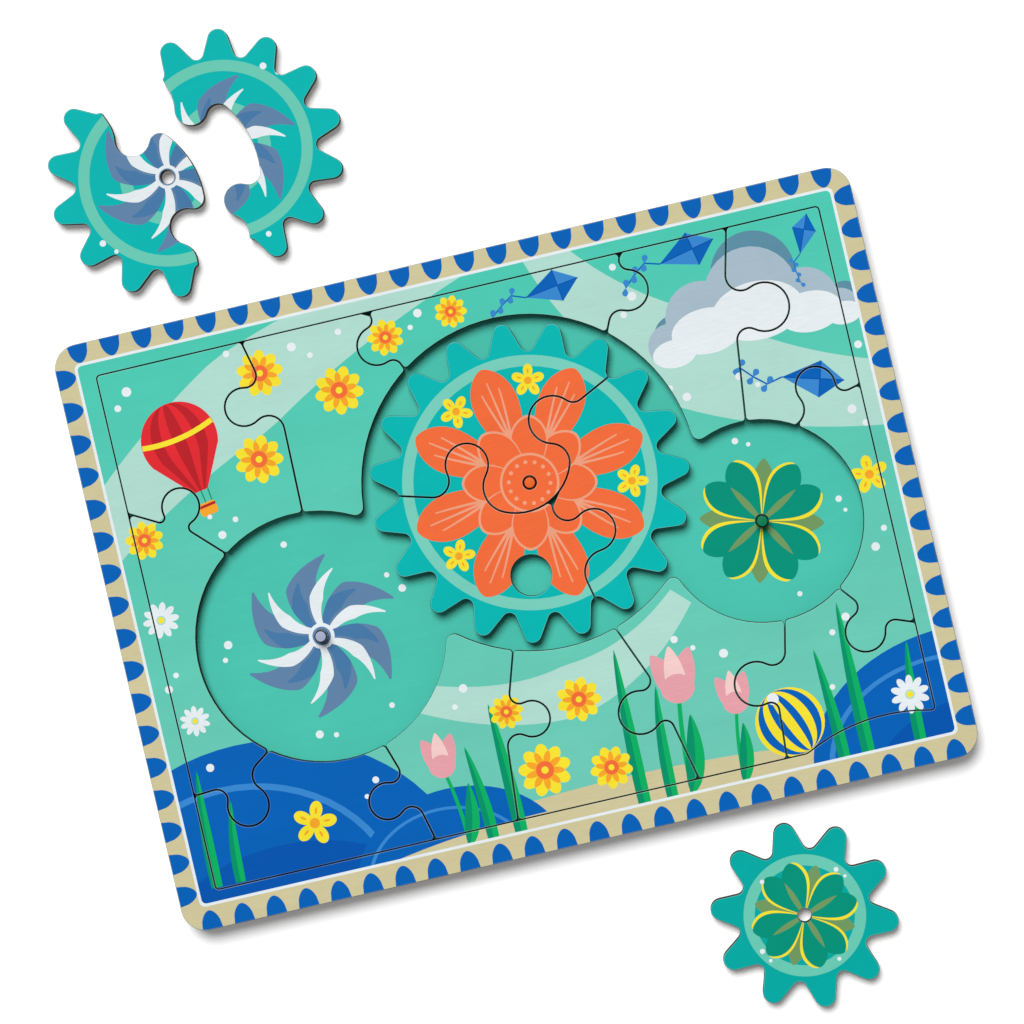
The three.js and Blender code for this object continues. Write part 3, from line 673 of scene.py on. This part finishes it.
def cut_flat(loops, picture, window, merge):
    """Triangles between the loops, whose corners the outlines of the picture join, and the number of the
    last patch that covers each, or -1. Patches after the window only count inside it."""
    outlines = [loops[0]] + [hole[::-1] for hole in loops[1:]]
    outlines += [outline if signed_area(outline) > 0 else outline[::-1] for _, outline in picture]
    starts = np.cumsum([0] + [len(outline) for outline in outlines])
    rows = [list(range(a, b)) for a, b in zip(starts, starts[1:])]
    corners = [Vector(corner) for corner in np.concatenate(outlines).tolist()]
    found = delaunay_2d_cdt(corners, [], rows, 1, merge, True)
    first = len(loops)
    triangles, patches = [], []
    for face, inside in zip(found[2], found[5]):
        if 0 not in inside or any(0 < held < first for held in inside):
            continue
        if window is not None and window + first not in inside:
            inside = [held for held in inside if held < window + first]
        triangles.append(face)
        patches.append(max(inside) - first if max(inside) >= first else -1)
    points = np.array([point[:] for point in found[0]])
    came_from = np.array([held[0] if held else -1 for held in found[3]])
    return points, np.array(triangles), np.array(patches), came_from


def beside(points, inner, outer):
    """For points on the inner loop, the places on the outer loop beside them: the same share of the same
    edge, found as the nearest edge to each point."""
    edge = np.roll(inner, -1, axis=0) - inner
    span = np.sum(edge ** 2, axis=1)
    along = np.clip(np.einsum("pnk,nk->pn", points[:, None] - inner[None], edge) / span, 0, 1)
    nearest = inner[None] + along[..., None] * edge[None]
    pick = np.argmin(np.sum((points[:, None] - nearest) ** 2, axis=2), axis=1)
    part = along[np.arange(len(points)), pick][:, None]
    return outer[pick] * (1 - part) + np.roll(outer, -1, axis=0)[pick] * part


def gap(point, loop):
    """Shortest distance from a point to a loop."""
    return float(np.linalg.norm(beside(point[None], loop, loop) - point))


def board(name, node, picture, ground, window=None):
    """A printed board that stands for a frame node. The picture cuts its flat top. From the top's edge a
    quarter circle, a straight side and a bevel are carried round each loop, and the underside closes it.
    Ground is the ink where the picture has none, and patches after the window only show inside it."""
    sizes = bpy.context.scene.tray_sizes
    inks = bpy.context.scene.tray_inks
    round_over, bevel = sizes.edge_round / MM, sizes.lower_bevel / MM
    outer, low, high = board_outline(node)
    inner = [inset(loop, round_over) for loop in outer]
    corner, far = outer[0].min(axis=0), outer[0].max(axis=0)
    shown = [(number, patch) for number, patch in enumerate(picture)
             if (patch[1].max(axis=0) > corner).all() and (patch[1].min(axis=0) < far).all()]
    local_window = None
    if window is not None:
        local_window = [number for number, _ in shown].index(window)
    shown = [patch for _, patch in shown]
    points, triangles, patches, _ = cut_flat(inner, shown, local_window, MERGE)
    used, triangles = np.unique(triangles, return_inverse=True)
    triangles = triangles.reshape(-1, 3)
    points = points[used]

    angle = np.linspace(0, TAU / 4, ROUND_STEPS + 1)[1:]
    outset = np.append(np.sin(angle), [1.0, 1.0 - bevel / round_over])
    height = np.append(high - round_over * (1 - np.cos(angle)), [low + bevel, low])
    kinds = [ROUNDED_EDGE] * len(angle) + [SAWN_SIDE, SAWN_SIDE]
    names = [ink for ink, _ in shown] + [ground]

    vertices = [np.column_stack([points, np.full(len(points), high)])]
    faces = [triangles.tolist()]
    face_ink = [patches]
    face_part = [np.full(len(triangles), PRINTED_TOP)]
    count = len(points)
    last_rows, lower_loops = [], []
    for ring, owners in boundary_loops(triangles):
        here = points[ring]
        chosen = min(range(len(inner)), key=lambda i: gap(here[0], inner[i]))
        reach = beside(here, inner[chosen], outer[chosen]) - here
        row = ring
        for share_out, z, kind in zip(outset, height, kinds):
            lower = count + np.arange(len(ring))
            vertices.append(np.column_stack([here + share_out * reach, np.full(len(ring), z)]))
            quads = np.stack([row, lower, np.roll(lower, -1), np.roll(row, -1)], 1)
            faces.append(quads.tolist())
            face_ink.append(patches[owners])
            face_part.append(np.full(len(ring), kind))
            row = lower
            count += len(ring)
        last_rows.append(row)
        lower_loops.append(here + outset[-1] * reach)
    order = sorted(range(len(lower_loops)), key=lambda i: signed_area(lower_loops[i]), reverse=True)
    rows = [last_rows[i] for i in order]
    loops = [lower_loops[i] for i in order]
    # The cutter is handed each hole the other way round, so its row is too.
    sources = np.concatenate([rows[0]] + [row[::-1] for row in rows[1:]])
    _, lower_triangles, _, came_from = cut_flat(loops, [], None, FINE_MERGE)
    under = sources[came_from[lower_triangles]][:, ::-1]
    faces.append(under.tolist())
    face_ink.append(np.full(len(under), -1))
    face_part.append(np.full(len(under), UNDERSIDE))

    all_faces = [face for group in faces for face in group]
    sides = np.array([len(face) for face in all_faces])
    part = np.concatenate(face_part)
    vertices = np.concatenate(vertices)
    piece = mesh_object(name, vertices * MM, all_faces, (part == ROUNDED_EDGE) | (part == SAWN_SIDE))
    heights = vertices[np.concatenate([np.ravel(group) for group in faces]).astype(int), 1]
    tints = ink_tints(inks, names, np.repeat(np.concatenate(face_ink), sides), heights)
    paint(piece, tints, np.repeat(part, sides), high - vertices[:, 2])
    return piece


def hole_place(node):
    """Middle of the round hole in a node's top: the mean of the corners of its smallest loop."""
    loops, _, _ = board_outline(node)
    return loops[-1].mean(axis=0)


def ink_tints(inks, names, patches, heights):
    """Colour of each face corner: its patch's ink, which for the sky runs evenly into the haze between two
    heights on the tray."""
    palette = np.array([getattr(inks, name)[:] for name in names])
    tints = palette[patches]
    share_down = np.clip((SKY_TOP - heights) / (SKY_TOP - SKY_BOTTOM), 0, 1)[:, None]
    fading = (np.array(names) == "sky")[patches]
    mixed = tints * (1 - share_down) + np.array(inks.haze[:]) * share_down
    tints = np.where(fading[:, None], mixed, tints)
    return np.column_stack([tints, np.ones(len(tints))])


def mesh_object(name, vertices, faces, smooth):
    """An object at the origin whose mesh has these corners and faces, each smooth or flat."""
    mesh = bpy.data.meshes.new(name)
    mesh.from_pydata(vertices.tolist(), [], faces)
    mesh.polygons.foreach_set("use_smooth", np.asarray(smooth, bool))
    mesh.update()
    piece = bpy.data.objects.new(name, mesh)
    bpy.context.scene.collection.objects.link(piece)
    return piece


def paint(piece, inks, parts, depths):
    """Keeps each corner's ink and part of the board, and each point's depth under the print in millimetres,
    as attributes, which the material reads."""
    layer = piece.data.attributes.new("ink", "FLOAT_COLOR", "CORNER")
    layer.data.foreach_set("color", np.asarray(inks, np.float32).ravel())
    kinds = piece.data.attributes.new("part", "FLOAT", "CORNER")
    kinds.data.foreach_set("value", np.asarray(parts, np.float32))
    sunk = piece.data.attributes.new("depth", "FLOAT", "POINT")
    sunk.data.foreach_set("value", np.asarray(depths, np.float32))


def dowel(name, low, high, crown, sides=48):
    """A profile of reach and height turned round the dowel's axis: a small lower chamfer, a straight side,
    a quarter circle at the crown and a slightly domed top. Both ends close on the axis."""
    radius = (high[0] - low[0]) / 2
    middle = ((high[0] + low[0]) / 2, (high[1] + low[1]) / 2)
    angle = np.linspace(0, TAU / 4, 7)
    chamfer, dome = 0.3 * crown, 0.12 * crown
    reach = np.concatenate([[radius - chamfer, radius], radius - crown * (1 - np.cos(angle)),
                            [0.55 * (radius - crown)]])
    rise = np.concatenate([[low[2], low[2] + chamfer], high[2] - dome - crown * (1 - np.sin(angle)),
                           [high[2] - 0.2 * dome]])
    turn = np.linspace(0, TAU, sides, endpoint=False)
    grid = np.stack([middle[0] + reach[:, None] * np.cos(turn), middle[1] + reach[:, None] * np.sin(turn),
                     np.repeat(rise[:, None], sides, axis=1)], 2).reshape(-1, 3)
    rows = np.arange(len(reach) * sides).reshape(-1, sides)
    quads = np.stack([rows[:-1], np.roll(rows[:-1], -1, axis=1), np.roll(rows[1:], -1, axis=1), rows[1:]], 2)
    bottom, top = len(grid), len(grid) + 1
    vertices = np.concatenate([grid, [(*middle, low[2]), (*middle, high[2])]])
    faces = quads.reshape(-1, 4).tolist()
    faces += [(bottom, b, a) for a, b in zip(rows[0], np.roll(rows[0], -1))]
    faces += [(top, a, b) for a, b in zip(rows[-1], np.roll(rows[-1], -1))]
    return mesh_object(name, vertices, faces, [True] * len(faces))


# Node groups shared by the materials

def fill_socket(tree, socket, value):
    if isinstance(value, bpy.types.NodeSocket):
        tree.links.new(value, socket)
    elif socket.type == "RGBA" and len(value) == 3:
        socket.default_value = (*value, 1.0)
    else:
        socket.default_value = value


def add_node(tree, kind, inputs=None, **settings):
    """A shader node with its settings, and its inputs by name or number, as values or linked sockets."""
    made = tree.nodes.new("ShaderNode" + kind)
    for key, value in settings.items():
        setattr(made, key, value)
    for key, value in (inputs or {}).items():
        fill_socket(tree, made.inputs[key], value)
    return made


def maths(tree, operation, first, second=0.0, clamp=False):
    return add_node(tree, "Math", {0: first, 1: second}, operation=operation, use_clamp=clamp).outputs[0]


def blended(tree, factor, first, second):
    return add_node(tree, "Mix", {0: factor, 6: first, 7: second}, data_type="RGBA").outputs[2]


def remapped(tree, value, from_low, from_high, to_low, to_high):
    return add_node(tree, "MapRange", {0: value, 1: from_low, 2: from_high, 3: to_low, 4: to_high}).outputs[0]


def object_place(tree):
    return add_node(tree, "TexCoord").outputs["Object"]


def noise(tree, place, scale, detail=2.0, roughness=0.5):
    inputs = {"Vector": place, "Scale": scale, "Detail": detail, "Roughness": roughness}
    return add_node(tree, "TexNoise", inputs).outputs["Fac"]


def kept(tree, name, output="Fac"):
    """An attribute that the piece's mesh keeps."""
    return add_node(tree, "Attribute", attribute_name=name).outputs[output]


def group_named(name, defaults, outputs, build):
    """A node group, built once, whose inputs are colours or numbers as their defaults are, and whose
    outputs are numbers apart from Color."""
    if name in bpy.data.node_groups:
        return bpy.data.node_groups[name]
    tree = bpy.data.node_groups.new(name, "ShaderNodeTree")
    for label, value in defaults.items():
        kind = "NodeSocketColor" if isinstance(value, tuple) else "NodeSocketFloat"
        tree.interface.new_socket(label, in_out="INPUT", socket_type=kind).default_value = value
    for label in outputs:
        kind = "NodeSocketColor" if label == "Color" else "NodeSocketFloat"
        tree.interface.new_socket(label, in_out="OUTPUT", socket_type=kind)
    given = tree.nodes.new("NodeGroupInput").outputs
    wanted = tree.nodes.new("NodeGroupOutput").inputs
    for label, socket in build(tree, given).items():
        tree.links.new(socket, wanted[label])
    return tree


def use_group(tree, group, inputs):
    """Places a node group in a material with its own values, and gives its outputs."""
    made = tree.nodes.new("ShaderNodeGroup")
    made.node_tree = group
    for key, value in inputs.items():
        fill_socket(tree, made.inputs[key], value)
    return made.outputs


def wood_grain():
    """Streaks that run along the board, as stretched noise: broad figure and fine fibres."""
    def build(tree, given):
        place = object_place(tree)
        turn = add_node(tree, "CombineXYZ", {"Z": given["Turn"]}).outputs[0]
        across = {"Vector": place, "Rotation": turn}
        turned = add_node(tree, "VectorRotate", across, rotation_type="EULER_XYZ")
        outputs = {}
        for label, scale, detail in (("Figure", (7, 70, 70), 3), ("Fibres", (120, 1100, 1100), 4)):
            stretched = add_node(tree, "Mapping", {"Vector": turned.outputs[0], "Scale": scale}).outputs[0]
            outputs[label] = noise(tree, stretched, 1.0, detail, 0.6)
        return outputs
    return group_named("Wood grain", {"Turn": 0.0}, ["Figure", "Fibres"], build)


def plywood_side():
    """Plies seen on a sawn side: bands in height with dark glue lines and fibres along them, browned by the
    cut and blackened by char just under the print."""
    def build(tree, given):
        place = object_place(tree)
        height = add_node(tree, "SeparateXYZ", {0: place}).outputs["Z"]
        wobble = noise(tree, place, 60.0, 2.0)
        height = maths(tree, "ADD", height, remapped(tree, wobble, 0, 1, -0.00012, 0.00012))
        plies = maths(tree, "DIVIDE", height, given["Ply"])
        within = maths(tree, "FRACT", plies)
        odd = maths(tree, "GREATER_THAN", maths(tree, "FRACT", maths(tree, "MULTIPLY", plies, 0.5)), 0.5)
        line = maths(tree, "LESS_THAN", within, GLUE_LINE)
        streaks = add_node(tree, "Mapping", {"Vector": place, "Scale": (260, 260, 2600)}).outputs[0]
        fibres = noise(tree, streaks, 1.0, 4.0)
        ends = maths(tree, "MULTIPLY", odd, 0.45)
        shade = maths(tree, "ADD", ends, remapped(tree, fibres, 0.3, 0.7, 0.0, 0.35))
        tone = blended(tree, shade, given["Veneer"], given["Core"])
        tone = blended(tree, maths(tree, "MULTIPLY", line, 0.7), tone, given["Core"])
        blotch = noise(tree, place, 110.0, 3.0)
        uneven = remapped(tree, blotch, 0.3, 0.7, -0.08, 0.08)
        browned = maths(tree, "ADD", given["Scorch"], uneven, clamp=True)
        tone = blended(tree, browned, tone, given["Scorched"])
        charred = remapped(tree, given["Depth"], CHAR_FADES, CHAR_ENDS, 1.0, 0.0)
        tone = blended(tree, maths(tree, "MULTIPLY", charred, given["Scorch"]), tone, given["Charred"])
        return {"Color": tone, "Height": maths(tree, "SUBTRACT", fibres, maths(tree, "MULTIPLY", line, 0.5))}
    return group_named("Plywood side", {"Ply": PLY, "Veneer": WHITE, "Core": BLACK, "Scorched": BLACK,
                                        "Charred": BLACK, "Scorch": SCORCH, "Depth": 0.0},
                       ["Color", "Height"], build)


def printed_ink():
    """Ink on wood: the colour with the figure and the fibres of the wood faintly under it, more so in pale
    inks, and a satin gloss that the fibres break up."""
    def build(tree, given):
        place = object_place(tree)
        mottle = noise(tree, place, 34.0, 3.0)
        shade = remapped(tree, given["Figure"], 0.3, 0.7, -0.03, 0.03)
        fine = remapped(tree, given["Fibres"], 0.3, 0.7, -0.035, 0.035)
        cloudy = remapped(tree, mottle, 0.3, 0.7, -0.025, 0.025)
        paleness = add_node(tree, "SeparateColor", {0: given["Ink"]}).outputs["Red"]
        fine = maths(tree, "MULTIPLY", fine, remapped(tree, paleness, 0.2, 0.7, 0.7, 1.6))
        change = maths(tree, "ADD", maths(tree, "ADD", shade, fine), cloudy)
        gain = maths(tree, "ADD", 1.0, maths(tree, "MULTIPLY", change, given["Grain"]))
        tone = add_node(tree, "VectorMath", {0: given["Ink"], "Scale": gain}, operation="SCALE").outputs[0]
        gloss = remapped(tree, given["Fibres"], 0.3, 0.7, 0.46, 0.56)
        return {"Color": tone, "Roughness": gloss, "Height": given["Fibres"]}
    return group_named("Printed ink", {"Ink": WHITE, "Grain": 0.5, "Figure": 0.5, "Fibres": 0.5},
                       ["Color", "Roughness", "Height"], build)


def rubbed_edge():
    """Where handling has thinned the ink on a rounded edge: a faint line all along it, a little stronger in
    long stretches of a noise, more so as wear rises."""
    def build(tree, given):
        place = object_place(tree)
        stretches = remapped(tree, noise(tree, place, 45.0), 0.35, 0.65, 0.35, 1.0)
        thinned = maths(tree, "MULTIPLY", stretches, given["Wear"])
        return {"Mask": maths(tree, "MULTIPLY", thinned, given["Edge"])}
    return group_named("Rubbed edge", {"Edge": 0.0, "Wear": 0.3}, ["Mask"], build)


def new_material(name):
    """A material, its node tree and the inputs of its shader."""
    material = bpy.data.materials.new(name)
    material.use_nodes = True
    tree = material.node_tree
    return material, tree, tree.nodes["Principled BSDF"].inputs


def lay_relief(tree, surface, height, strength):
    """Bumps of a fifth of a millimetre at most."""
    bump = add_node(tree, "Bump", {"Strength": strength, "Distance": 0.2 * MM, "Height": height})
    tree.links.new(bump.outputs[0], surface["Normal"])


def printed_wood(name, turn=0.0):
    """Printed and varnished top, rubbed along its edge, with scorched plywood sides and a bare underside."""
    if name in bpy.data.materials:
        return bpy.data.materials[name]
    paints, sizes = bpy.context.scene.tray_paints, bpy.context.scene.tray_sizes
    material, tree, surface = new_material(name)
    ink, part, depth = kept(tree, "ink", "Color"), kept(tree, "part"), kept(tree, "depth")
    edge, side, under = (maths(tree, "GREATER_THAN", part, kind - 0.5)
                         for kind in (ROUNDED_EDGE, SAWN_SIDE, UNDERSIDE))
    grain = use_group(tree, wood_grain(), {"Turn": math.radians(-turn)})
    veneer, core, worn, scorched, charred = (
        tuple(tint) for tint in (paints.veneer, paints.core, paints.worn, paints.scorched, paints.charred))
    ink_coat = use_group(tree, printed_ink(), {
        "Ink": ink, "Grain": sizes.grain, "Figure": grain["Figure"], "Fibres": grain["Fibres"]})
    rubbed = use_group(tree, rubbed_edge(), {"Edge": edge, "Wear": sizes.wear})
    # The rounded edge blackens from just under the print: char from the cut and painted shade that darkens
    # the seams and the edges
    edge_char_and_shade = maths(tree, "MULTIPLY", edge, remapped(tree, depth, EDGE_CHAR_SHADE_STARTS, EDGE_CHAR_SHADE_FULL, 0.0, SCORCH))
    plies = use_group(tree, plywood_side(), {
        "Veneer": veneer, "Core": core, "Scorched": scorched, "Charred": charred, "Scorch": SCORCH,
        "Depth": depth})
    bare = blended(tree, remapped(tree, grain["Figure"], 0.3, 0.7, 0.0, 0.3), veneer, core)
    bare = blended(tree, remapped(tree, grain["Fibres"], 0.45, 0.7, 0.0, 0.4), bare, core)
    top = blended(tree, rubbed["Mask"], ink_coat["Color"], worn)
    top = blended(tree, edge_char_and_shade, top, charred)
    tone = blended(tree, side, top, plies["Color"])
    tone = blended(tree, under, tone, bare)
    tree.links.new(tone, surface["Base Color"])
    gloss = maths(tree, "ADD", ink_coat["Roughness"], maths(tree, "MULTIPLY", side, 0.3), clamp=True)
    tree.links.new(gloss, surface["Roughness"])
    relief = add_node(tree, "Mix", {0: side, 2: ink_coat["Height"], 3: plies["Height"]}, data_type="FLOAT")
    lay_relief(tree, surface, relief.outputs[0], 0.08)
    surface["Specular IOR Level"].default_value = 0.05
    return material


def painted_dowel(name, tint, axis, shoulder):
    """Paint on a dowel that stands at axis: faint rings from turning on its top, and a dark rim above the
    shoulder, which is painted shade for the shaded gap round the peg in its hole."""
    paints = bpy.context.scene.tray_paints
    material, tree, surface = new_material(name)
    place = object_place(tree)
    flat = add_node(tree, "VectorMath", {0: place, 1: (1, 1, 0)}, operation="MULTIPLY").outputs[0]
    middle = (axis[0] * MM, axis[1] * MM, 0)
    reach = add_node(tree, "VectorMath", {0: flat, 1: middle}, operation="DISTANCE").outputs["Value"]
    coarse = noise(tree, place, 700.0, 3.0)
    wavy = maths(tree, "ADD", maths(tree, "MULTIPLY", reach, 5200.0), maths(tree, "MULTIPLY", coarse, 2.5))
    turned = remapped(tree, maths(tree, "SINE", wavy), -1, 1, 0.0, 0.28)
    tone = blended(tree, turned, tuple(tint), tuple(0.6 * c for c in tint))
    # Painted shade: the crown's outer ring is darkened to stand for the shaded gap between peg and hole
    rim = remapped(tree, reach, PEG_SHADE_STARTS, PEG_SHADE_FULL, 0.0, 0.97)
    height = add_node(tree, "SeparateXYZ", {0: place}).outputs["Z"]
    rim = maths(tree, "MULTIPLY", rim, maths(tree, "GREATER_THAN", height, shoulder))
    tone = blended(tree, rim, tone, tuple(paints.charred))
    tree.links.new(tone, surface["Base Color"])
    tree.links.new(remapped(tree, coarse, 0.3, 0.7, 0.4, 0.55), surface["Roughness"])
    lay_relief(tree, surface, coarse, 0.15)
    surface["Specular IOR Level"].default_value = 0.1
    return material


def table_paper(tint, glow):
    """Pale matt paper with the faintest mottle, which glows a little: painted light that lightens the shadows
    cast on the table.
    """
    material, tree, surface = new_material("table")
    place = object_place(tree)
    mottle = noise(tree, place, 3.0)
    tone = blended(tree, remapped(tree, mottle, 0.3, 0.7, 0.0, 0.02), tuple(tint), (0.8, 0.8, 0.8))
    tree.links.new(tone, surface["Base Color"])
    # Painted light: the glow lightens the shadows on the table
    surface["Emission Color"].default_value = WHITE
    for label, value in (("Roughness", 0.9), ("Specular IOR Level", 0.1), ("Emission Strength", glow)):
        surface[label].default_value = value
    return material


def fit_piece(piece, node, body, material):
    """Puts the piece in place of its frame node, on the body that carries it, in its finish."""
    piece.data.materials.append(material)
    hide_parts(node)
    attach(piece, body)


class TRAY_OT_stage(bpy.types.Operator):
    """Adds the table, the soft light and the camera"""
    bl_idname = "tray.stage"
    bl_label = "Stage"

    def execute(self, context):
        scene = context.scene
        studio = scene.tray_studio
        corners = box(-TABLE_HALF, -TABLE_HALF, TABLE_HALF, TABLE_HALF)
        vertices = np.column_stack([corners, np.full(4, -TABLE_DROP)])
        floor = mesh_object("table", vertices, [(0, 1, 2, 3)], [False])
        floor.data.materials.append(table_paper(studio.paper, studio.table_shadow_glow))

        camera = bpy.data.objects.new("camera", bpy.data.cameras.new("camera"))
        camera.data.angle = math.radians(CAMERA_VIEW)
        camera.location = (*CAMERA_PLACE, studio.camera_height)
        camera.rotation_euler = [math.radians(turn) for turn in CAMERA_TURNS]
        scene.collection.objects.link(camera)
        scene.camera = camera

        key = bpy.data.lights.new("key", "SUN")
        key.energy = studio.key
        key.angle = studio.key_spread
        lamp = bpy.data.objects.new("key", key)
        lean, bearing = studio.key_lean, studio.key_bearing
        aside = math.sin(lean)
        towards = Vector((aside * math.cos(bearing), aside * math.sin(bearing), math.cos(lean)))
        lamp.rotation_euler = towards.to_track_quat("Z", "Y").to_euler()
        scene.collection.objects.link(lamp)

        world = bpy.data.worlds.new("studio")
        world.use_nodes = True
        background = world.node_tree.nodes["Background"]
        background.inputs["Color"].default_value = WHITE
        background.inputs["Strength"].default_value = studio.fill
        scene.world = world
        scene.view_settings.view_transform = "Standard"
        return {"FINISHED"}


class TRAY_OT_base_board(bpy.types.Operator):
    """Adds the bottom board with the printed floors of the wells"""
    bl_idname = "tray.base_board"
    bl_label = "Base board"

    def execute(self, context):
        piece = board("bottom_board", "base_board", well_floors(), "sand")
        fit_piece(piece, "base_board", "tray", printed_wood("floor print"))
        return {"FINISHED"}


class TRAY_OT_rim(bpy.types.Operator):
    """Adds the rim with its scallops, its white line and the outer part of the picture"""
    bl_idname = "tray.rim"
    bl_label = "Rim"

    def execute(self, context):
        picture, window = field()
        piece = board("printed_rim", "frame_rim", picture, "sand", window)
        fit_piece(piece, "frame_rim", "tray", printed_wood("field print"))
        return {"FINISHED"}


class TRAY_OT_tray_pieces(bpy.types.Operator):
    """Adds the twelve jigsaw pieces round the wells, with the picture running on from piece to piece"""
    bl_idname = "tray.tray_pieces"
    bl_label = "Tray pieces"

    def execute(self, context):
        picture, window = field()
        for node in TRAY_PIECES:
            piece = board("printed_" + node, node, picture, "sky", window)
            fit_piece(piece, node, node, printed_wood("field print"))
        return {"FINISHED"}


class TRAY_OT_centre_gear(bpy.types.Operator):
    """Adds the three pieces of the middle gear, with its large flower"""
    bl_idname = "tray.centre_gear"
    bl_label = "Middle gear"

    def execute(self, context):
        x, y = peg_place("centre_peg")
        picture = moved(great_flower(), x, y, CENTRE_GEAR_TURN)
        for node in CENTRE_GEAR_PIECES:
            piece = board("printed_" + node, node, picture, "gear")
            fit_piece(piece, node, node, printed_wood("middle gear print", CENTRE_GEAR_TURN))
        return {"FINISHED"}


class TRAY_OT_left_gear(bpy.types.Operator):
    """Adds the left gear's two pieces, which lie apart on the table"""
    bl_idname = "tray.left_gear"
    bl_label = "Left gear"

    def execute(self, context):
        wheel = rings((17.5, 23.5), (38.5, 44), ring="mint") + windmill(37)
        wheel += dots([(30, 34, 1.7), (36, 29, 1.1), (-41, -20, 1.6), (-36, -26, 1.1), (10, -46, 1.4)])
        x, y = hole_place("left_gear_hub")
        side_x, side_y = placed([(LEFT_GEAR_SIDE_APART, 0)], x, y, LEFT_GEAR_SIDE_BEARING)[0]
        for node, place, turn in (("left_gear_hub", (x, y), LEFT_GEAR_TURN),
                                  ("left_gear_side", (side_x, side_y), LEFT_GEAR_SIDE_TURN)):
            piece = board("printed_" + node, node, moved(wheel, *place, turn), "gear")
            fit_piece(piece, node, node, printed_wood(node + " print", turn))
        return {"FINISHED"}


class TRAY_OT_right_gear(bpy.types.Operator):
    """Adds the small one-piece gear, which lies on the table"""
    bl_idname = "tray.right_gear"
    bl_label = "Right gear"

    def execute(self, context):
        wheel = rings((11, 16.5), (24.5, 30), ring="mint", ground="lagoon") + clover(28)
        wheel += dots([(25, 11, 1.2), (27, 6, 0.8), (-27, -4, 1.3), (-26, -10, 0.9), (-9, 25, 1.1),
                       (3, -27, 1.0)])
        x, y = hole_place("right_gear")
        piece = board("printed_right_gear", "right_gear", moved(wheel, x, y, RIGHT_GEAR_TURN), "lagoon")
        material = printed_wood("right gear print", RIGHT_GEAR_TURN)
        fit_piece(piece, "right_gear", "right_gear", material)
        return {"FINISHED"}


class TRAY_OT_pegs(bpy.types.Operator):
    """Adds the three painted dowels that the gears turn on"""
    bl_idname = "tray.pegs"
    bl_label = "Pegs"

    def execute(self, context):
        crown = context.scene.tray_sizes.peg_chamfer
        for node in ("left_peg", "centre_peg", "right_peg"):
            low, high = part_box(node)
            piece = dowel("painted_" + node, low, high, crown)
            tint = getattr(context.scene.tray_paints, node)
            material = painted_dowel(node + " paint", tint, peg_place(node), high[2] - crown)
            fit_piece(piece, node, "tray", material)
        return {"FINISHED"}


class TRAY_PT_panel(bpy.types.Panel):
    """Lists the pieces of the tray and their settings"""
    bl_label = "Gear tray"
    bl_space_type = "VIEW_3D"
    bl_region_type = "UI"
    bl_category = "Gear tray"

    def draw(self, context):
        scene = context.scene
        for operator in OPERATORS:
            self.layout.operator(operator.bl_idname)
        for group in (scene.tray_sizes, scene.tray_paints, scene.tray_inks, scene.tray_studio):
            column = self.layout.column(align=True)
            for name in group.__annotations__:
                column.prop(group, name)


PROPERTY_GROUPS = {
    "tray_inks": TrayInks, "tray_paints": TrayPaints, "tray_sizes": TraySizes, "tray_studio": StudioSettings,
}
OPERATORS = [
    TRAY_OT_stage, TRAY_OT_base_board, TRAY_OT_rim, TRAY_OT_tray_pieces, TRAY_OT_centre_gear,
    TRAY_OT_left_gear, TRAY_OT_right_gear, TRAY_OT_pegs,
]


def register():
    for name, group in PROPERTY_GROUPS.items():
        bpy.utils.register_class(group)
        setattr(bpy.types.Scene, name, PointerProperty(type=group))
    for operator in OPERATORS:
        bpy.utils.register_class(operator)
    bpy.utils.register_class(TRAY_PT_panel)


def unregister():
    bpy.utils.unregister_class(TRAY_PT_panel)
    for operator in reversed(OPERATORS):
        bpy.utils.unregister_class(operator)
    for name, group in PROPERTY_GROUPS.items():
        delattr(bpy.types.Scene, name)
        bpy.utils.unregister_class(group)


def main():
    register()
    for operator in OPERATORS:
        family, name = operator.bl_idname.split(".")
        getattr(getattr(bpy.ops, family), name)()


if __name__ == "__main__":
    main()
